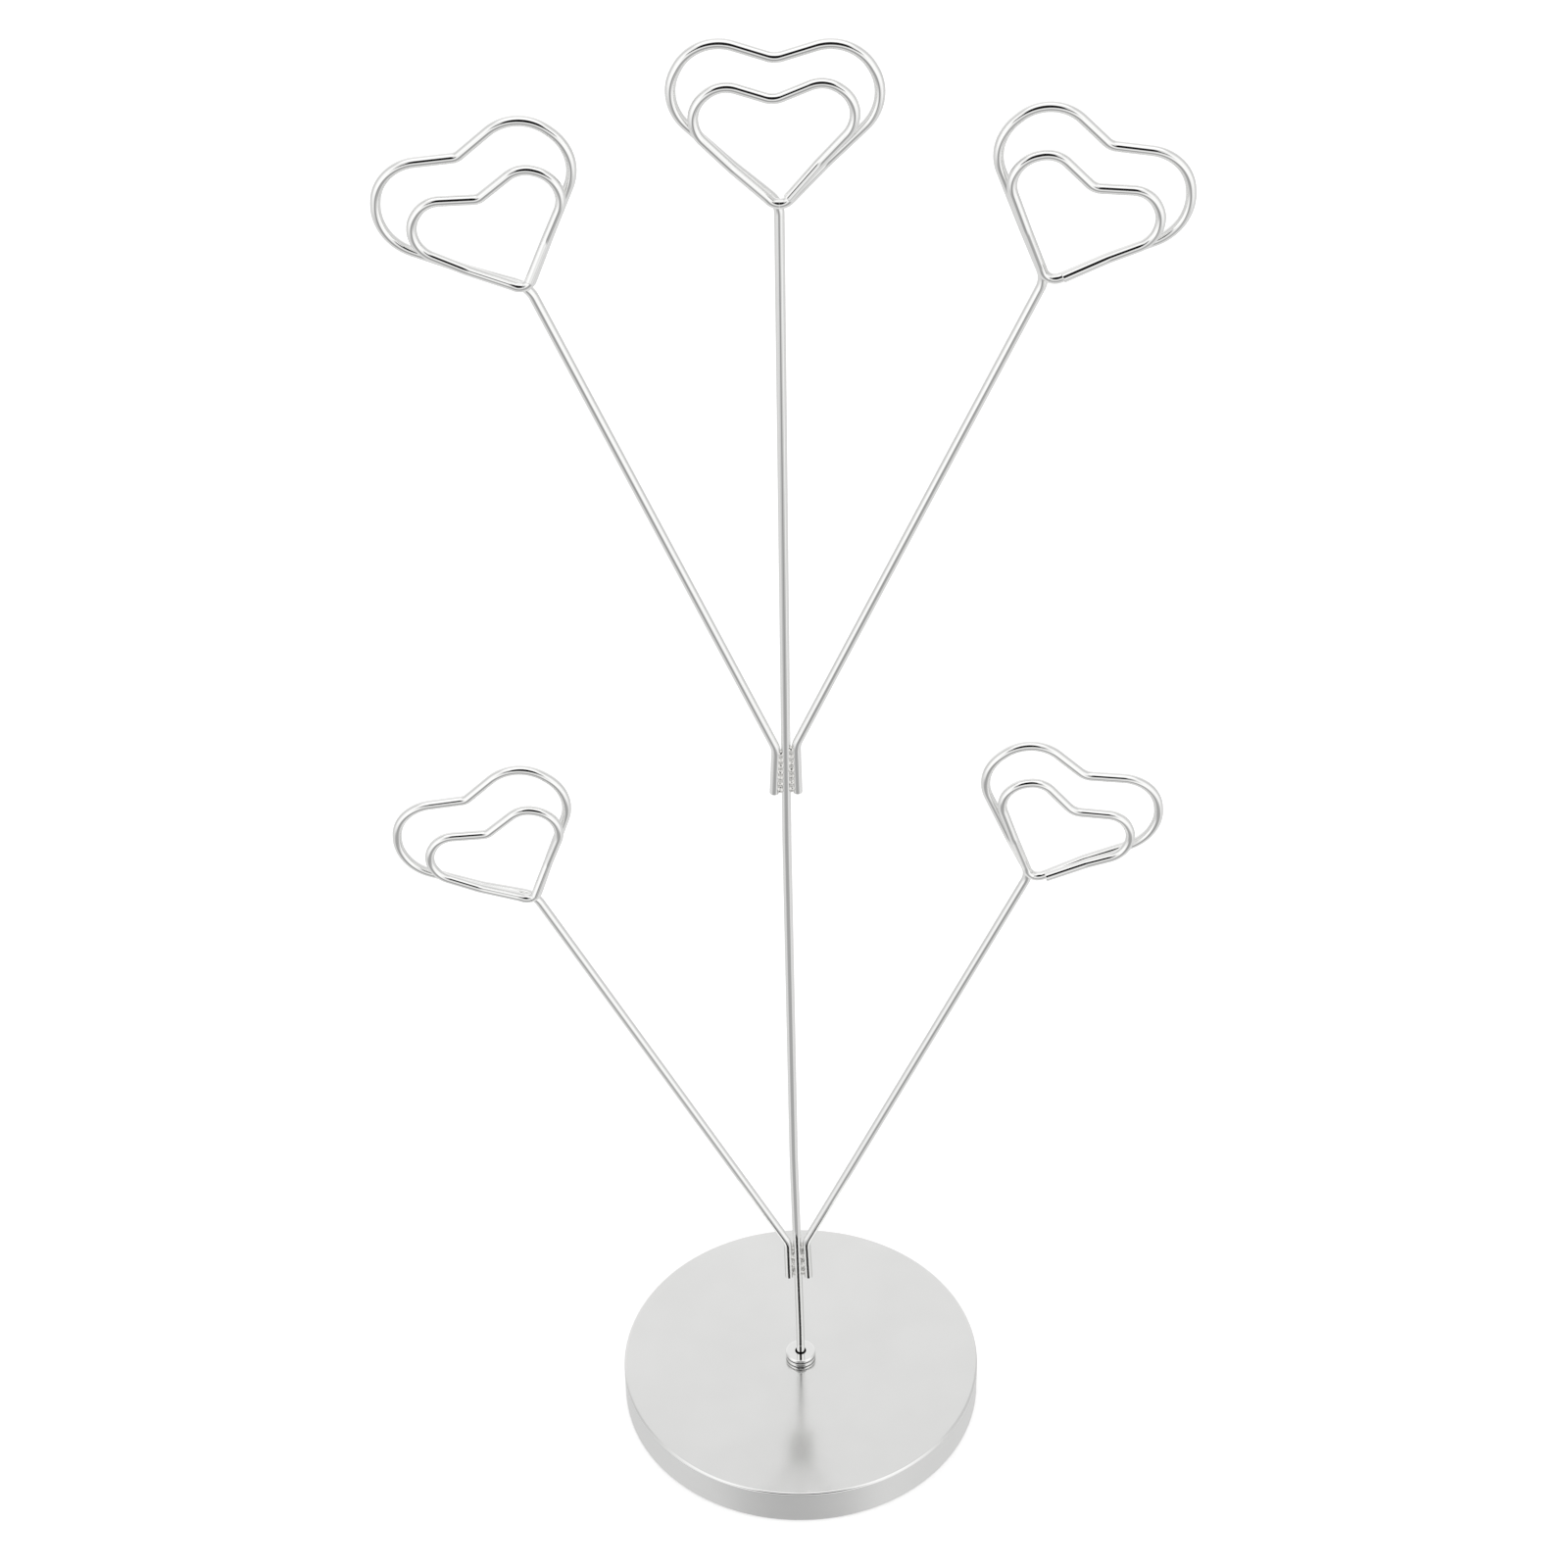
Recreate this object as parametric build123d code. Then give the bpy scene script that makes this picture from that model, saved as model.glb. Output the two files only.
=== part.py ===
from build123d import *
import os
from math import cos, degrees, radians, sin, tan

# Photo tree stand: a round weighted base, a wire stem and four wire arms, each wire ending in a
# double-heart clip that grips a photo between its rear and its front loop.
# Millimetres, +Z up. The tree lies in the X-Z plane and faces -Y.
# The origin is the middle of the face that the stand rests on.

# Wire of the whole tree
wire_diameter = 1.85
loop_gap = 0.15            # between the rear and the front loop of a clip, before a photo goes in
split_gap = 0.05           # between the two halves of the wire at a clip's lowest bend

# Round base
base_diameter = 80.0
base_height = 9.0
base_edge_radius = 0.5
shell_wall = 0.8
rim_lift = 0.4             # the shell's rim stays clear of the table
pad_thickness = 1.2
pad_side_gap = 0.4
weight_side_gap = 0.15
weight_edge_chamfer = 0.5

# Collar in the middle of the base, where the stem enters
collar_diameter = 6.8
collar_height = 2.0
collar_edge_radius = 0.35
collar_foot_radius = 0.2
collar_groove_height = 1.1     # above the base's top face
collar_groove_radius = 0.18
collar_lip_radius = 0.12       # of the groove's two edges
collar_mouth_widening = 0.25
collar_mouth_depth = 0.7
shank_diameter = 4.0
swivel_clearance = 0.05    # the stem turns in the collar

# Retainer on the stem's lower end, in a pocket under the weight
pocket_diameter = 9.0
pocket_depth = 3.8
washer_thickness = 0.5
washer_side_gap = 0.4
washer_bore_gap = 0.08
axial_gap = 0.05
cap_diameter = 5.4
cap_floor = 0.8
cap_edge_radius = 0.7

# Stem: heights above the table, and how far its slight bow takes it to the left
stem_kick_height = 19.0
stem_bow_height = 72.0
stem_bow = 0.87
stem_middle_height = 160.0
stem_middle_bow = 1.2
stem_top_height = 301.3
stem_top_bow = 0.71
stem_bow_radius = 500.0

# Arms: the tail of each lies along the stem, where it is brazed on
upper_joint_height = 183.37
lower_joint_height = 46.18
joint_stagger = 0.47       # the right arm sits this much above the joint's height, the left below
joint_stagger_shares = {"upper": 1.0, "lower": 0.17}
tail_length = 11.0
tail_length_shares = {"upper_left": 1.0, "upper_right": 1.07, "lower_left": 0.985, "lower_right": 1.005}
tail_gap = 0.17
tail_gap_shares = {"upper_left": 0.18, "upper_right": 1.0, "lower_left": 1.0, "lower_right": 1.18}
tail_toe_out = 0.5
tail_toe_out_shares = {"upper_left": 1.0, "upper_right": 0.5, "lower_left": 0.0, "lower_right": 0.4}
elbow_radius = 5.0
arm_length = 112.0
arm_length_shares = {"upper_left": 0.9895, "upper_right": 0.9936, "lower_left": 0.9988, "lower_right": 1.0151}
arm_lean_degrees = {"upper_left": -22.2, "upper_right": 23.74, "lower_left": -26.3, "lower_right": 23.72}

# Rear loop of a clip: half widths across the clip and heights above the last bend of the arm
neck_radius = 4.8
rear_shoulder_half_width = 19.95
rear_shoulder_height = 20.0
rear_shoulder_radius = 9.2
rear_crown_half_width = 13.4
rear_crown_height = 32.2
rear_crown_radius = 8.3
rear_cleft_height = 27.8
cleft_radius = 2.4
cleft_radius_shares = {
    "top": 1.6, "upper_left": 1.0, "upper_right": 1.4, "lower_left": 1.1, "lower_right": 1.8}

# Front loop of a clip
front_shoulder_half_width = 16.6
front_shoulder_height = 18.0
front_shoulder_radius = 6.0
front_crown_half_width = 9.0
front_crown_height = 23.6
front_crown_radius = 5.4
front_cleft_height = 20.3
tip_aim_across = -0.4      # the wire's cut end points here, beside the lowest bend
tip_aim_height = 0.85
tip_aim_height_shares = {
    "top": 1.0, "upper_left": 1.0, "upper_right": 1.5, "lower_left": 1.0, "lower_right": 1.7}
tip_cut_back = 2.85

# Lowest bend, which carries the wire from the rear loop to the front loop
vee_height = 0.3
vee_height_shares = {
    "top": -0.3, "upper_left": 1.5, "upper_right": 1.5, "lower_left": 1.0, "lower_right": 1.0}
vee_radius = 2.35
crossing_start = 0.7       # straight wire beside a bend, before it crosses to the next plane
crossing_run = 8.4
crossing_radius = 8.0

# Each clip was bent by hand over a jig, so the five differ a little
clip_lean_degrees = {
    "top": -0.65, "upper_left": -22.46, "upper_right": 21.58, "lower_left": -25.53, "lower_right": 21.71}
rear_width_shares = {
    "top": 0.987, "upper_left": 0.997, "upper_right": 0.989, "lower_left": 1.002, "lower_right": 1.012}
rear_height_shares = {
    "top": 0.991, "upper_left": 1.0, "upper_right": 1.01, "lower_left": 1.011, "lower_right": 0.994}
rear_shift = 0.1
rear_shift_shares = {
    "top": -1.1, "upper_left": -0.7, "upper_right": -0.8, "lower_left": 0.1, "lower_right": -1.3}
lobe_lean = 1.36           # how far a rear loop's left side sits higher and its right side lower
lobe_lean_shares = {
    "top": 0.285, "upper_left": -0.17, "upper_right": 1.0, "lower_left": -0.09, "lower_right": 0.605}
cleft_lift = 0.3
cleft_lift_shares = {
    "top": 0.0, "upper_left": 0.9, "upper_right": -0.1, "lower_left": 0.7, "lower_right": -0.9}
front_width_shares = {
    "top": 0.987, "upper_left": 0.987, "upper_right": 0.996, "lower_left": 0.995, "lower_right": 1.016}
front_height_shares = {
    "top": 1.032, "upper_left": 0.991, "upper_right": 1.018, "lower_left": 0.99, "lower_right": 0.994}
front_turn_degrees = {
    "top": -1.27, "upper_left": 1.64, "upper_right": 3.57, "lower_left": 2.38, "lower_right": 7.27}
front_shift = 0.9
front_shift_shares = {
    "top": 0.0, "upper_left": -0.2, "upper_right": -1.45, "lower_left": -0.45, "lower_right": -2.19}

# Brazing beads between a tail and the stem
bead_radius = 0.9
bead_forward = 0.2
bead_radius_shares = (0.82, 1.0, 0.88, 1.04, 0.8, 0.98, 0.86)
bead_end_margin = 1.1
seam_radius = 0.6          # of the braze that runs on between the beads
seam_radius_shares = {"upper": 1.35, "lower": 0.9}

run_share = 0.96           # how much of a straight run the arcs at its two ends may take
overrun = 1.0              # how far a cut passes the face it leaves

wire_radius = wire_diameter / 2
forward_step = wire_diameter + loop_gap
arm_names = ("upper_left", "upper_right", "lower_left", "lower_right")
clip_names = ("top",) + arm_names

# Heights in the base, worked out from its layers
roof_height = base_height - shell_wall
pocket_roof = pad_thickness + pocket_depth
washer_top = pocket_roof - axial_gap
cap_top = washer_top - washer_thickness - axial_gap
cap_bottom = pad_thickness + axial_gap
stem_foot = cap_bottom + cap_floor
collar_top = base_height + collar_height


def disc(radius, low, high):
    """Upright cylinder about the base's axis, from one height to another."""
    return Pos(0, 0, low) * Cylinder(radius, high - low, align=(Align.CENTER, Align.CENTER, Align.MIN))


def top_edges(body):
    """Edges that lie in the highest level of a body."""
    return body.edges().group_by(Axis.Z)[-1]


def bottom_edges(body):
    """Edges that lie in the lowest level of a body."""
    return body.edges().group_by(Axis.Z)[0]


def base_shell():
    """Pressed cup, open below, with a small rounded edge at the top and a hole for the collar's shank."""
    cup = disc(base_diameter / 2, rim_lift, base_height)
    cup = fillet(top_edges(cup), base_edge_radius)
    cup -= disc(base_diameter / 2 - shell_wall, rim_lift - overrun, roof_height)
    cup -= disc(shank_diameter / 2, rim_lift, base_height + overrun)
    return cup


def base_weight():
    """Cast disc that fills the cup, bored for the collar's shank and pocketed below for the retainer."""
    radius = base_diameter / 2 - shell_wall - weight_side_gap
    weight = disc(radius, pad_thickness, roof_height)
    weight = chamfer(top_edges(weight), weight_edge_chamfer)
    weight -= disc(shank_diameter / 2, pad_thickness, roof_height + overrun)
    weight -= disc(pocket_diameter / 2, pad_thickness - overrun, pocket_roof)
    return weight


def base_pad():
    """Soft disc under the weight, which is what touches the table."""
    return disc(base_diameter / 2 - shell_wall - pad_side_gap, 0, pad_thickness)


def stem_collar():
    """Flanged bush: the grooved flange shows, the shank is pressed through the shell and the weight."""
    flange = disc(collar_diameter / 2, base_height, collar_top)
    flange = fillet(top_edges(flange), collar_edge_radius)
    flange = fillet(bottom_edges(flange), collar_foot_radius)
    flange -= Pos(0, 0, base_height + collar_groove_height) * Torus(collar_diameter / 2, collar_groove_radius)
    rings = flange.edges().filter_by(GeomType.CIRCLE)
    lips = [ring for ring in rings if abs(ring.radius - collar_diameter / 2) < collar_lip_radius / 2]
    groove = base_height + collar_groove_height
    lips = [ring for ring in lips if abs(ring.center().Z - groove) < 3 / 2 * collar_groove_radius]
    flange = fillet(lips, collar_lip_radius)
    shank = disc(shank_diameter / 2, pocket_roof, base_height)
    bore_radius = wire_radius + swivel_clearance
    bore = disc(bore_radius, pocket_roof - overrun, collar_top + overrun)
    mouth = disc(bore_radius + collar_mouth_widening, collar_top - collar_mouth_depth, collar_top + overrun)
    return flange + shank - bore - mouth


def stem_washer():
    """Thrust washer between the collar's lower end and the retaining cap."""
    ring = disc(pocket_diameter / 2 - washer_side_gap, washer_top - washer_thickness, washer_top)
    bore_radius = wire_radius + washer_bore_gap
    return ring - disc(bore_radius, washer_top - washer_thickness - overrun, washer_top + overrun)


def retaining_cap():
    """Closed push-on cap that is forced on the stem's foot and keeps the tree in the base."""
    cap = disc(cap_diameter / 2, cap_bottom, cap_top)
    cap = fillet(bottom_edges(cap), cap_edge_radius)
    return cap - disc(wire_radius, stem_foot, cap_top + overrun)


def stem_line():
    """Points of the stem's middle line, from its foot in the retaining cap to the top clip."""
    return [
        Vector(0, 0, stem_foot),
        Vector(0, 0, stem_kick_height),
        Vector(-stem_bow, 0, stem_bow_height),
        Vector(-stem_middle_bow, 0, stem_middle_height),
        Vector(-stem_top_bow, 0, stem_top_height),
    ]


def stem_at(height):
    """Where the stem's middle line is at a height."""
    for low, high in zip(stem_line(), stem_line()[1:]):
        if low.Z <= height <= high.Z:
            return low + (high - low) * ((height - low.Z) / (high.Z - low.Z))
    return stem_line()[-1]


def arm_side(name):
    """-1 for an arm on the left of the stem, 1 for one on the right."""
    return -1 if name.endswith("left") else 1


def arm_joint(name):
    """Which of the two joints holds an arm."""
    return name.split("_")[0]


def arm_line(name):
    """Foot, elbow and far end of an arm's middle line."""
    side = arm_side(name)
    joint = arm_joint(name)
    joint_height = upper_joint_height if joint == "upper" else lower_joint_height
    elbow_height = joint_height + side * joint_stagger * joint_stagger_shares[joint]
    foot_height = elbow_height - tail_length * tail_length_shares[name]
    offset = wire_diameter + tail_gap * tail_gap_shares[name]
    toe_out = tail_toe_out * tail_toe_out_shares[name]
    elbow = stem_at(elbow_height) + Vector(side * offset, 0, 0)
    foot = stem_at(foot_height) + Vector(side * (offset + toe_out), 0, 0)
    lean = radians(arm_lean_degrees[name])
    reach = arm_length * arm_length_shares[name]
    return [foot, elbow, elbow + Vector(sin(lean), 0, cos(lean)) * reach]


def wire_before_clip(name):
    """Middle line and bend radii of the wire that carries a clip, up to the clip's neck."""
    if name == "top":
        return stem_line(), [stem_bow_radius, stem_bow_radius, stem_bow_radius]
    return arm_line(name), [elbow_radius]


def clip_plane(name):
    """Plane of a clip: X across it, Y along it away from the arm, Z forwards, origin at its neck."""
    lean = radians(clip_lean_degrees[name])
    neck = wire_before_clip(name)[0][-1]
    return Plane(origin=neck, x_dir=(cos(lean), 0, -sin(lean)), z_dir=(0, -1, 0))


def tangent_length(before, corner, after, radius):
    """How far from a corner its arc begins."""
    turn = (corner - before).get_angle(after - corner)
    return radius * tan(radians(turn) / 2)


def fitting_radii(points, radii):
    """The bend radii, made smaller where a run is too short for the arcs at its two ends."""
    corners = range(1, len(points) - 1)
    taken = [tangent_length(points[i - 1], points[i], points[i + 1], radii[i - 1]) for i in corners]
    taken = [0] + taken + [0]
    shrink = [1.0] * len(points)
    for i in range(len(points) - 1):
        room = (points[i + 1] - points[i]).length * run_share
        if taken[i] + taken[i + 1] > room:
            factor = room / (taken[i] + taken[i + 1])
            shrink[i] = min(shrink[i], factor)
            shrink[i + 1] = min(shrink[i + 1], factor)
    return [radii[i - 1] * shrink[i] for i in corners]


def towards(start, end, distance, forward):
    """Point in clip coordinates at a distance from one point towards another, lifted forwards."""
    step = Vector(end[0] - start[0], end[1] - start[1]).normalized() * distance
    return (start[0] + step.X, start[1] + step.Y, forward)


def rear_corners(name):
    """Corners of the rear heart, from its left shoulder to its right shoulder, in clip coordinates."""
    wide = rear_width_shares[name]
    high = rear_height_shares[name]
    shift = rear_shift * rear_shift_shares[name]
    lean = lobe_lean * lobe_lean_shares[name]
    lift = cleft_lift * cleft_lift_shares[name]
    return [
        (shift - rear_shoulder_half_width * wide, rear_shoulder_height * high + lean),
        (shift - rear_crown_half_width * wide, rear_crown_height * high + lean),
        (shift, rear_cleft_height * high + lift),
        (shift + rear_crown_half_width * wide, rear_crown_height * high - lean),
        (shift + rear_shoulder_half_width * wide, rear_shoulder_height * high - lean),
    ]


def front_corners(name):
    """Corners of the front heart, from its left shoulder to its right shoulder, in clip coordinates."""
    wide = front_width_shares[name]
    high = front_height_shares[name]
    turn = radians(front_turn_degrees[name])
    shift = front_shift * front_shift_shares[name]
    lift = cleft_lift * cleft_lift_shares[name]
    heart = [
        (-front_shoulder_half_width * wide, front_shoulder_height * high),
        (-front_crown_half_width * wide, front_crown_height * high),
        (0, front_cleft_height * high + lift),
        (front_crown_half_width * wide, front_crown_height * high),
        (front_shoulder_half_width * wide, front_shoulder_height * high),
    ]
    turned = []
    for across, along in heart:
        turned_across = across * cos(turn) + along * sin(turn) + shift
        turned.append((turned_across, along * cos(turn) - across * sin(turn)))
    return turned


def lifted(corners, forward):
    """Corners of a heart at one distance in front of the arm's plane."""
    return [(across, along, forward) for across, along in corners]


def vee_spot(name):
    """Where the two legs of a clip's lowest bend would meet, in clip coordinates."""
    return (0, vee_height * vee_height_shares[name])


class Vee:
    """The clip's lowest bend: an arc one step in front of the arm, split at its middle."""

    def __init__(self, name):
        plane = clip_plane(name)
        corner = (*vee_spot(name), forward_step)
        self.corner = plane.from_local_coords(corner)
        right = plane.from_local_coords(towards(corner, rear_corners(name)[-1], 1.0, forward_step))
        left = plane.from_local_coords(towards(corner, front_corners(name)[0], 1.0, forward_step))
        to_right = (right - self.corner).normalized()
        to_left = (left - self.corner).normalized()
        self.opening = to_right.get_angle(to_left)
        self.rise = (to_right + to_left).normalized()
        self.across = (to_right - to_left).normalized()
        self.centre = self.corner + self.rise * (vee_radius / sin(radians(self.opening / 2)))
        self.bottom = self.centre - self.rise * vee_radius
        self.arc_degrees = 90 - self.opening / 2
        self.leg_taken = vee_radius * tan(radians(self.arc_degrees))

    def point(self, angle):
        """Point of the arc at an angle from its bottom, positive to the right."""
        turn = radians(angle)
        return self.centre + self.across * (vee_radius * sin(turn)) - self.rise * (vee_radius * cos(turn))

    def half(self, side):
        """Half of the arc, from its split to its leg: side is 1 for the right half and -1 for the left."""
        split = degrees(split_gap / 2 / vee_radius)
        angles = [split, (self.arc_degrees + split) / 2, self.arc_degrees]
        return ThreePointArc(*[self.point(side * angle) for angle in angles])


def rear_path(name):
    """Middle line of a whole wire: stem or arm, neck, rear heart and the right half of the lowest bend."""
    line, radii = wire_before_clip(name)
    plane = clip_plane(name)
    vee = Vee(name)
    corners = rear_corners(name)
    half_step = forward_step / 2
    shoulder = plane.from_local_coords((*corners[0], 0))
    start = tangent_length(line[-2], line[-1], shoulder, neck_radius) + crossing_start
    finish = vee.leg_taken + crossing_start
    vee_corner = vee_spot(name)
    loop = [towards((0, 0), corners[0], start, 0)]
    loop.append(towards((0, 0), corners[0], start + crossing_run, half_step))
    loop += lifted(corners, half_step)
    loop.append(towards(vee_corner, corners[-1], finish + crossing_run, half_step))
    loop.append(towards(vee_corner, corners[-1], finish, forward_step))
    points = line + [plane.from_local_coords(point) for point in loop] + [vee.point(vee.arc_degrees)]
    cleft = cleft_radius * cleft_radius_shares[name]
    radii = radii + [neck_radius, crossing_radius, crossing_radius]
    radii += [rear_shoulder_radius, rear_crown_radius, cleft, rear_crown_radius, rear_shoulder_radius]
    radii += [crossing_radius, crossing_radius]
    bends = FilletPolyline(*points, radius=fitting_radii(points, radii))
    return Wire(bends.edges() + vee.half(1).edges())


def front_path(name):
    """Middle line of a front loop: the left half of the lowest bend, the front heart and the cut end."""
    plane = clip_plane(name)
    vee = Vee(name)
    corners = front_corners(name)
    front_plane = forward_step * 3 / 2
    start = vee.leg_taken + crossing_start
    vee_corner = vee_spot(name)
    aim = (tip_aim_across, tip_aim_height * tip_aim_height_shares[name])
    loop = [towards(vee_corner, corners[0], start, forward_step)]
    loop.append(towards(vee_corner, corners[0], start + crossing_run, front_plane))
    loop += lifted(corners, front_plane)
    loop.append(towards(aim, corners[-1], tip_cut_back + crossing_run, front_plane))
    loop.append(towards(aim, corners[-1], tip_cut_back, forward_step * 2))
    points = [vee.point(-vee.arc_degrees)] + [plane.from_local_coords(point) for point in loop]
    cleft = cleft_radius * cleft_radius_shares[name]
    radii = [crossing_radius, crossing_radius]
    radii += [front_shoulder_radius, front_crown_radius, cleft, front_crown_radius, front_shoulder_radius]
    radii += [crossing_radius]
    bends = FilletPolyline(*points, radius=fitting_radii(points, radii))
    return Wire(vee.half(-1).edges() + bends.edges())


def round_wire(path):
    """Solid round wire along a middle line."""
    section = Plane(origin=path @ 0, z_dir=path % 0) * Circle(wire_radius)
    return sweep(section, path=path)


def brazing(name, stem, arm):
    """Chain of small beads that fills the groove between an arm's tail and the stem."""
    foot, elbow, _ = arm_line(name)
    low = foot.Z + bead_end_margin
    high = elbow.Z - bead_end_margin
    count = len(bead_radius_shares)
    chain = []
    for i, share in enumerate(bead_radius_shares):
        height = low + (high - low) * i / (count - 1)
        along = (height - foot.Z) / (elbow.Z - foot.Z)
        tail = foot + (elbow - foot) * along
        middle = (tail + stem_at(height)) / 2
        chain.append(Pos(middle.X, -bead_forward, height) * Sphere(bead_radius * share))
    seam = Line(chain[0].position, chain[-1].position)
    seam_section = Circle(seam_radius * seam_radius_shares[arm_joint(name)])
    beads = sweep(Plane(origin=seam @ 0, z_dir=seam % 0) * seam_section, path=seam)
    for bead in chain:
        beads += bead
    return beads - stem - arm


def tree_pieces():
    """All nodes of the wire tree, by name."""
    stem = round_wire(rear_path("top"))
    pieces = {"stem_wire": stem}
    for name in arm_names:
        arm = round_wire(rear_path(name))
        pieces[name + "_arm"] = arm
        pieces[name + "_weld"] = brazing(name, stem, arm)
    for name in clip_names:
        pieces[name + "_clip_loop"] = round_wire(front_path(name))
    return pieces


def base_pieces():
    """All nodes of the base and of the stem's bearing, by name."""
    return {
        "base_shell": base_shell(),
        "base_weight": base_weight(),
        "base_pad": base_pad(),
        "stem_collar": stem_collar(),
        "stem_washer": stem_washer(),
        "retaining_cap": retaining_cap(),
    }


def print_pivots():
    """Print where each front loop turns as it is pulled open, and the loop's axis."""
    for name in clip_names:
        vee = Vee(name)
        pivot = [round(value, 3) for value in vee.bottom]
        axis = [round(value, 5) for value in vee.across]
        print(name, "pivot", pivot, "axis", axis)


os.makedirs("parts", exist_ok=True)
for node, shape in {**base_pieces(), **tree_pieces()}.items():
    export_step(shape, f"parts/{node}.step")
print_pivots()
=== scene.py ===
"""Looks, studio and camera for the photo tree stand, in metres and in the frame of its solids."""
import logging
import random
from dataclasses import dataclass, field
from enum import Enum
from math import cos, degrees, pi, radians, sin, tan
from typing import Any

import bmesh
import bpy
from mathutils import Matrix, Quaternion, Vector, noise


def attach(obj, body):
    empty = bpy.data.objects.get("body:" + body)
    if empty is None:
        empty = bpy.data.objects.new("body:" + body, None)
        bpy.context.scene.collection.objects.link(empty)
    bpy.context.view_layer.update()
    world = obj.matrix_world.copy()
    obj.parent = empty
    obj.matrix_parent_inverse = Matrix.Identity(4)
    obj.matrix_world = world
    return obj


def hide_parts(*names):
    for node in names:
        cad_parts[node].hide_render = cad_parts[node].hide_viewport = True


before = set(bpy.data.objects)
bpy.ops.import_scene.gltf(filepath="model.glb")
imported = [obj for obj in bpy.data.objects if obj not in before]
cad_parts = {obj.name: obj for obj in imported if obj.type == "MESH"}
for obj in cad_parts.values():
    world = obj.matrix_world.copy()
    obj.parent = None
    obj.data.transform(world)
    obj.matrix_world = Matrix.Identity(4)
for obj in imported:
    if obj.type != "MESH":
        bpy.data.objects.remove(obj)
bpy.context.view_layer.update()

logging.basicConfig(level=logging.INFO, format="%(message)s")
log = logging.getLogger("photo_tree_stand")

MM = 0.001
# Vector operations whose result is a number
NUMBER_RESULTS = ("DOT_PRODUCT", "LENGTH")
# Length of one wave in a wave texture of scale 1
WAVE_LENGTH = 0.314


def linear(hex_colour: str) -> tuple[float, float, float, float]:
    """Turn an sRGB hex value into a linear colour.

    Args:
        hex_colour: six hex digits, such as "DCDCDC".

    Returns:
        Red, green, blue and alpha, linear.
    """
    parts = [int(hex_colour[i:i + 2], 16) / 255 for i in (0, 2, 4)]
    values = [c / 12.92 if c <= 0.04045 else ((c + 0.055) / 1.055) ** 2.4 for c in parts]
    return (values[0], values[1], values[2], 1.0)


def fill(tree: bpy.types.NodeTree, node: bpy.types.Node, values: dict[str | int, Any]) -> bpy.types.Node:
    """Set a node's properties, and set or link its inputs.

    Args:
        tree: the node's tree.
        node: the node.
        values: property names, or input names and numbers, with a value or with the socket that feeds them.

    Returns:
        The same node.
    """
    for name, value in values.items():
        if isinstance(value, bpy.types.NodeSocket):
            tree.links.new(value, node.inputs[name])
        elif isinstance(name, str) and hasattr(node, name):
            setattr(node, name, value)
        else:
            node.inputs[name].default_value = value
    return node


def add_node(tree: bpy.types.NodeTree, kind: str, values: dict[str | int, Any] | None = None) -> bpy.types.Node:
    """Add a shader node and fill it in.

    Args:
        tree: the node tree that it goes into.
        kind: its type, such as "TexNoise".
        values: what fill() sets and links.

    Returns:
        The new node.
    """
    return fill(tree, tree.nodes.new("ShaderNode" + kind), values or {})


def calculate(tree: bpy.types.NodeTree, operation: str, *values: Any, kind: str = "Math") -> Any:
    """Add a maths node.

    Args:
        tree: the node tree that it goes into.
        operation: what it works out, such as "MULTIPLY".
        values: its inputs in order, each a value or an output socket.
        kind: "Math", or "VectorMath" for vectors.

    Returns:
        The output socket with the result.
    """
    node = add_node(tree, kind, {"operation": operation, **dict(enumerate(values))})
    return node.outputs["Value" if kind == "Math" or operation in NUMBER_RESULTS else "Vector"]


def remap(tree: bpy.types.NodeTree, value: Any, start: float, end: float, low: float = 0.0, high: float = 1.0,
          smooth: bool = False) -> Any:
    """Add a node that takes one range of a value to another.

    Args:
        tree: the node tree that it goes into.
        value: output socket with the value.
        start: value at which the result is low.
        end: value at which the result is high.
        low: the result at the start and before it.
        high: the result at the end and after it.
        smooth: whether the result runs smoothly into both.

    Returns:
        The output socket with the result.
    """
    return add_node(tree, "MapRange", {
        "interpolation_type": "SMOOTHSTEP" if smooth else "LINEAR",
        0: value, 1: start, 2: end, 3: low, 4: high}).outputs[0]


def blend(tree: bpy.types.NodeTree, share: Any, first: Any, second: Any) -> Any:
    """Mix two levels by a share.

    Args:
        tree: the node tree that the mix goes into.
        share: output socket from 0 to 1.
        first: level or socket where the share is 0.
        second: level or socket where the share is 1.

    Returns:
        The output socket of the mix.
    """
    return add_node(tree, "Mix", {"data_type": "FLOAT", 0: share, 2: first, 3: second}).outputs[0]


def ramp(tree: bpy.types.NodeTree, value: Any, stops: list[tuple[float, str]]) -> Any:
    """Add a colour ramp.

    Args:
        tree: the node tree that it goes into.
        value: output socket that picks the colour.
        stops: positions from 0 to 1, each with a hex colour.

    Returns:
        The output socket with the colour.
    """
    node = add_node(tree, "ValToRGB", {0: value})
    elements = node.color_ramp.elements
    while len(elements) > 1:
        elements.remove(elements[-1])
    elements[0].position = stops[0][0]
    elements[0].color = linear(stops[0][1])
    for position, colour in stops[1:]:
        elements.new(position).color = linear(colour)
    return node.outputs[0]


def grain(tree: bpy.types.NodeTree, size_mm: float, place: Any, detail: float = 3.0) -> Any:
    """Add noise whose grains have a real size.

    Args:
        tree: the material's node tree.
        size_mm: grain size in millimetres.
        place: output socket with the coordinates, in metres.
        detail: how many finer layers the noise has.

    Returns:
        The output socket with the noise.
    """
    return add_node(tree, "TexNoise", {"Scale": 1.0 / (size_mm * MM), "Detail": detail, "Vector": place}).outputs[0]


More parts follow.
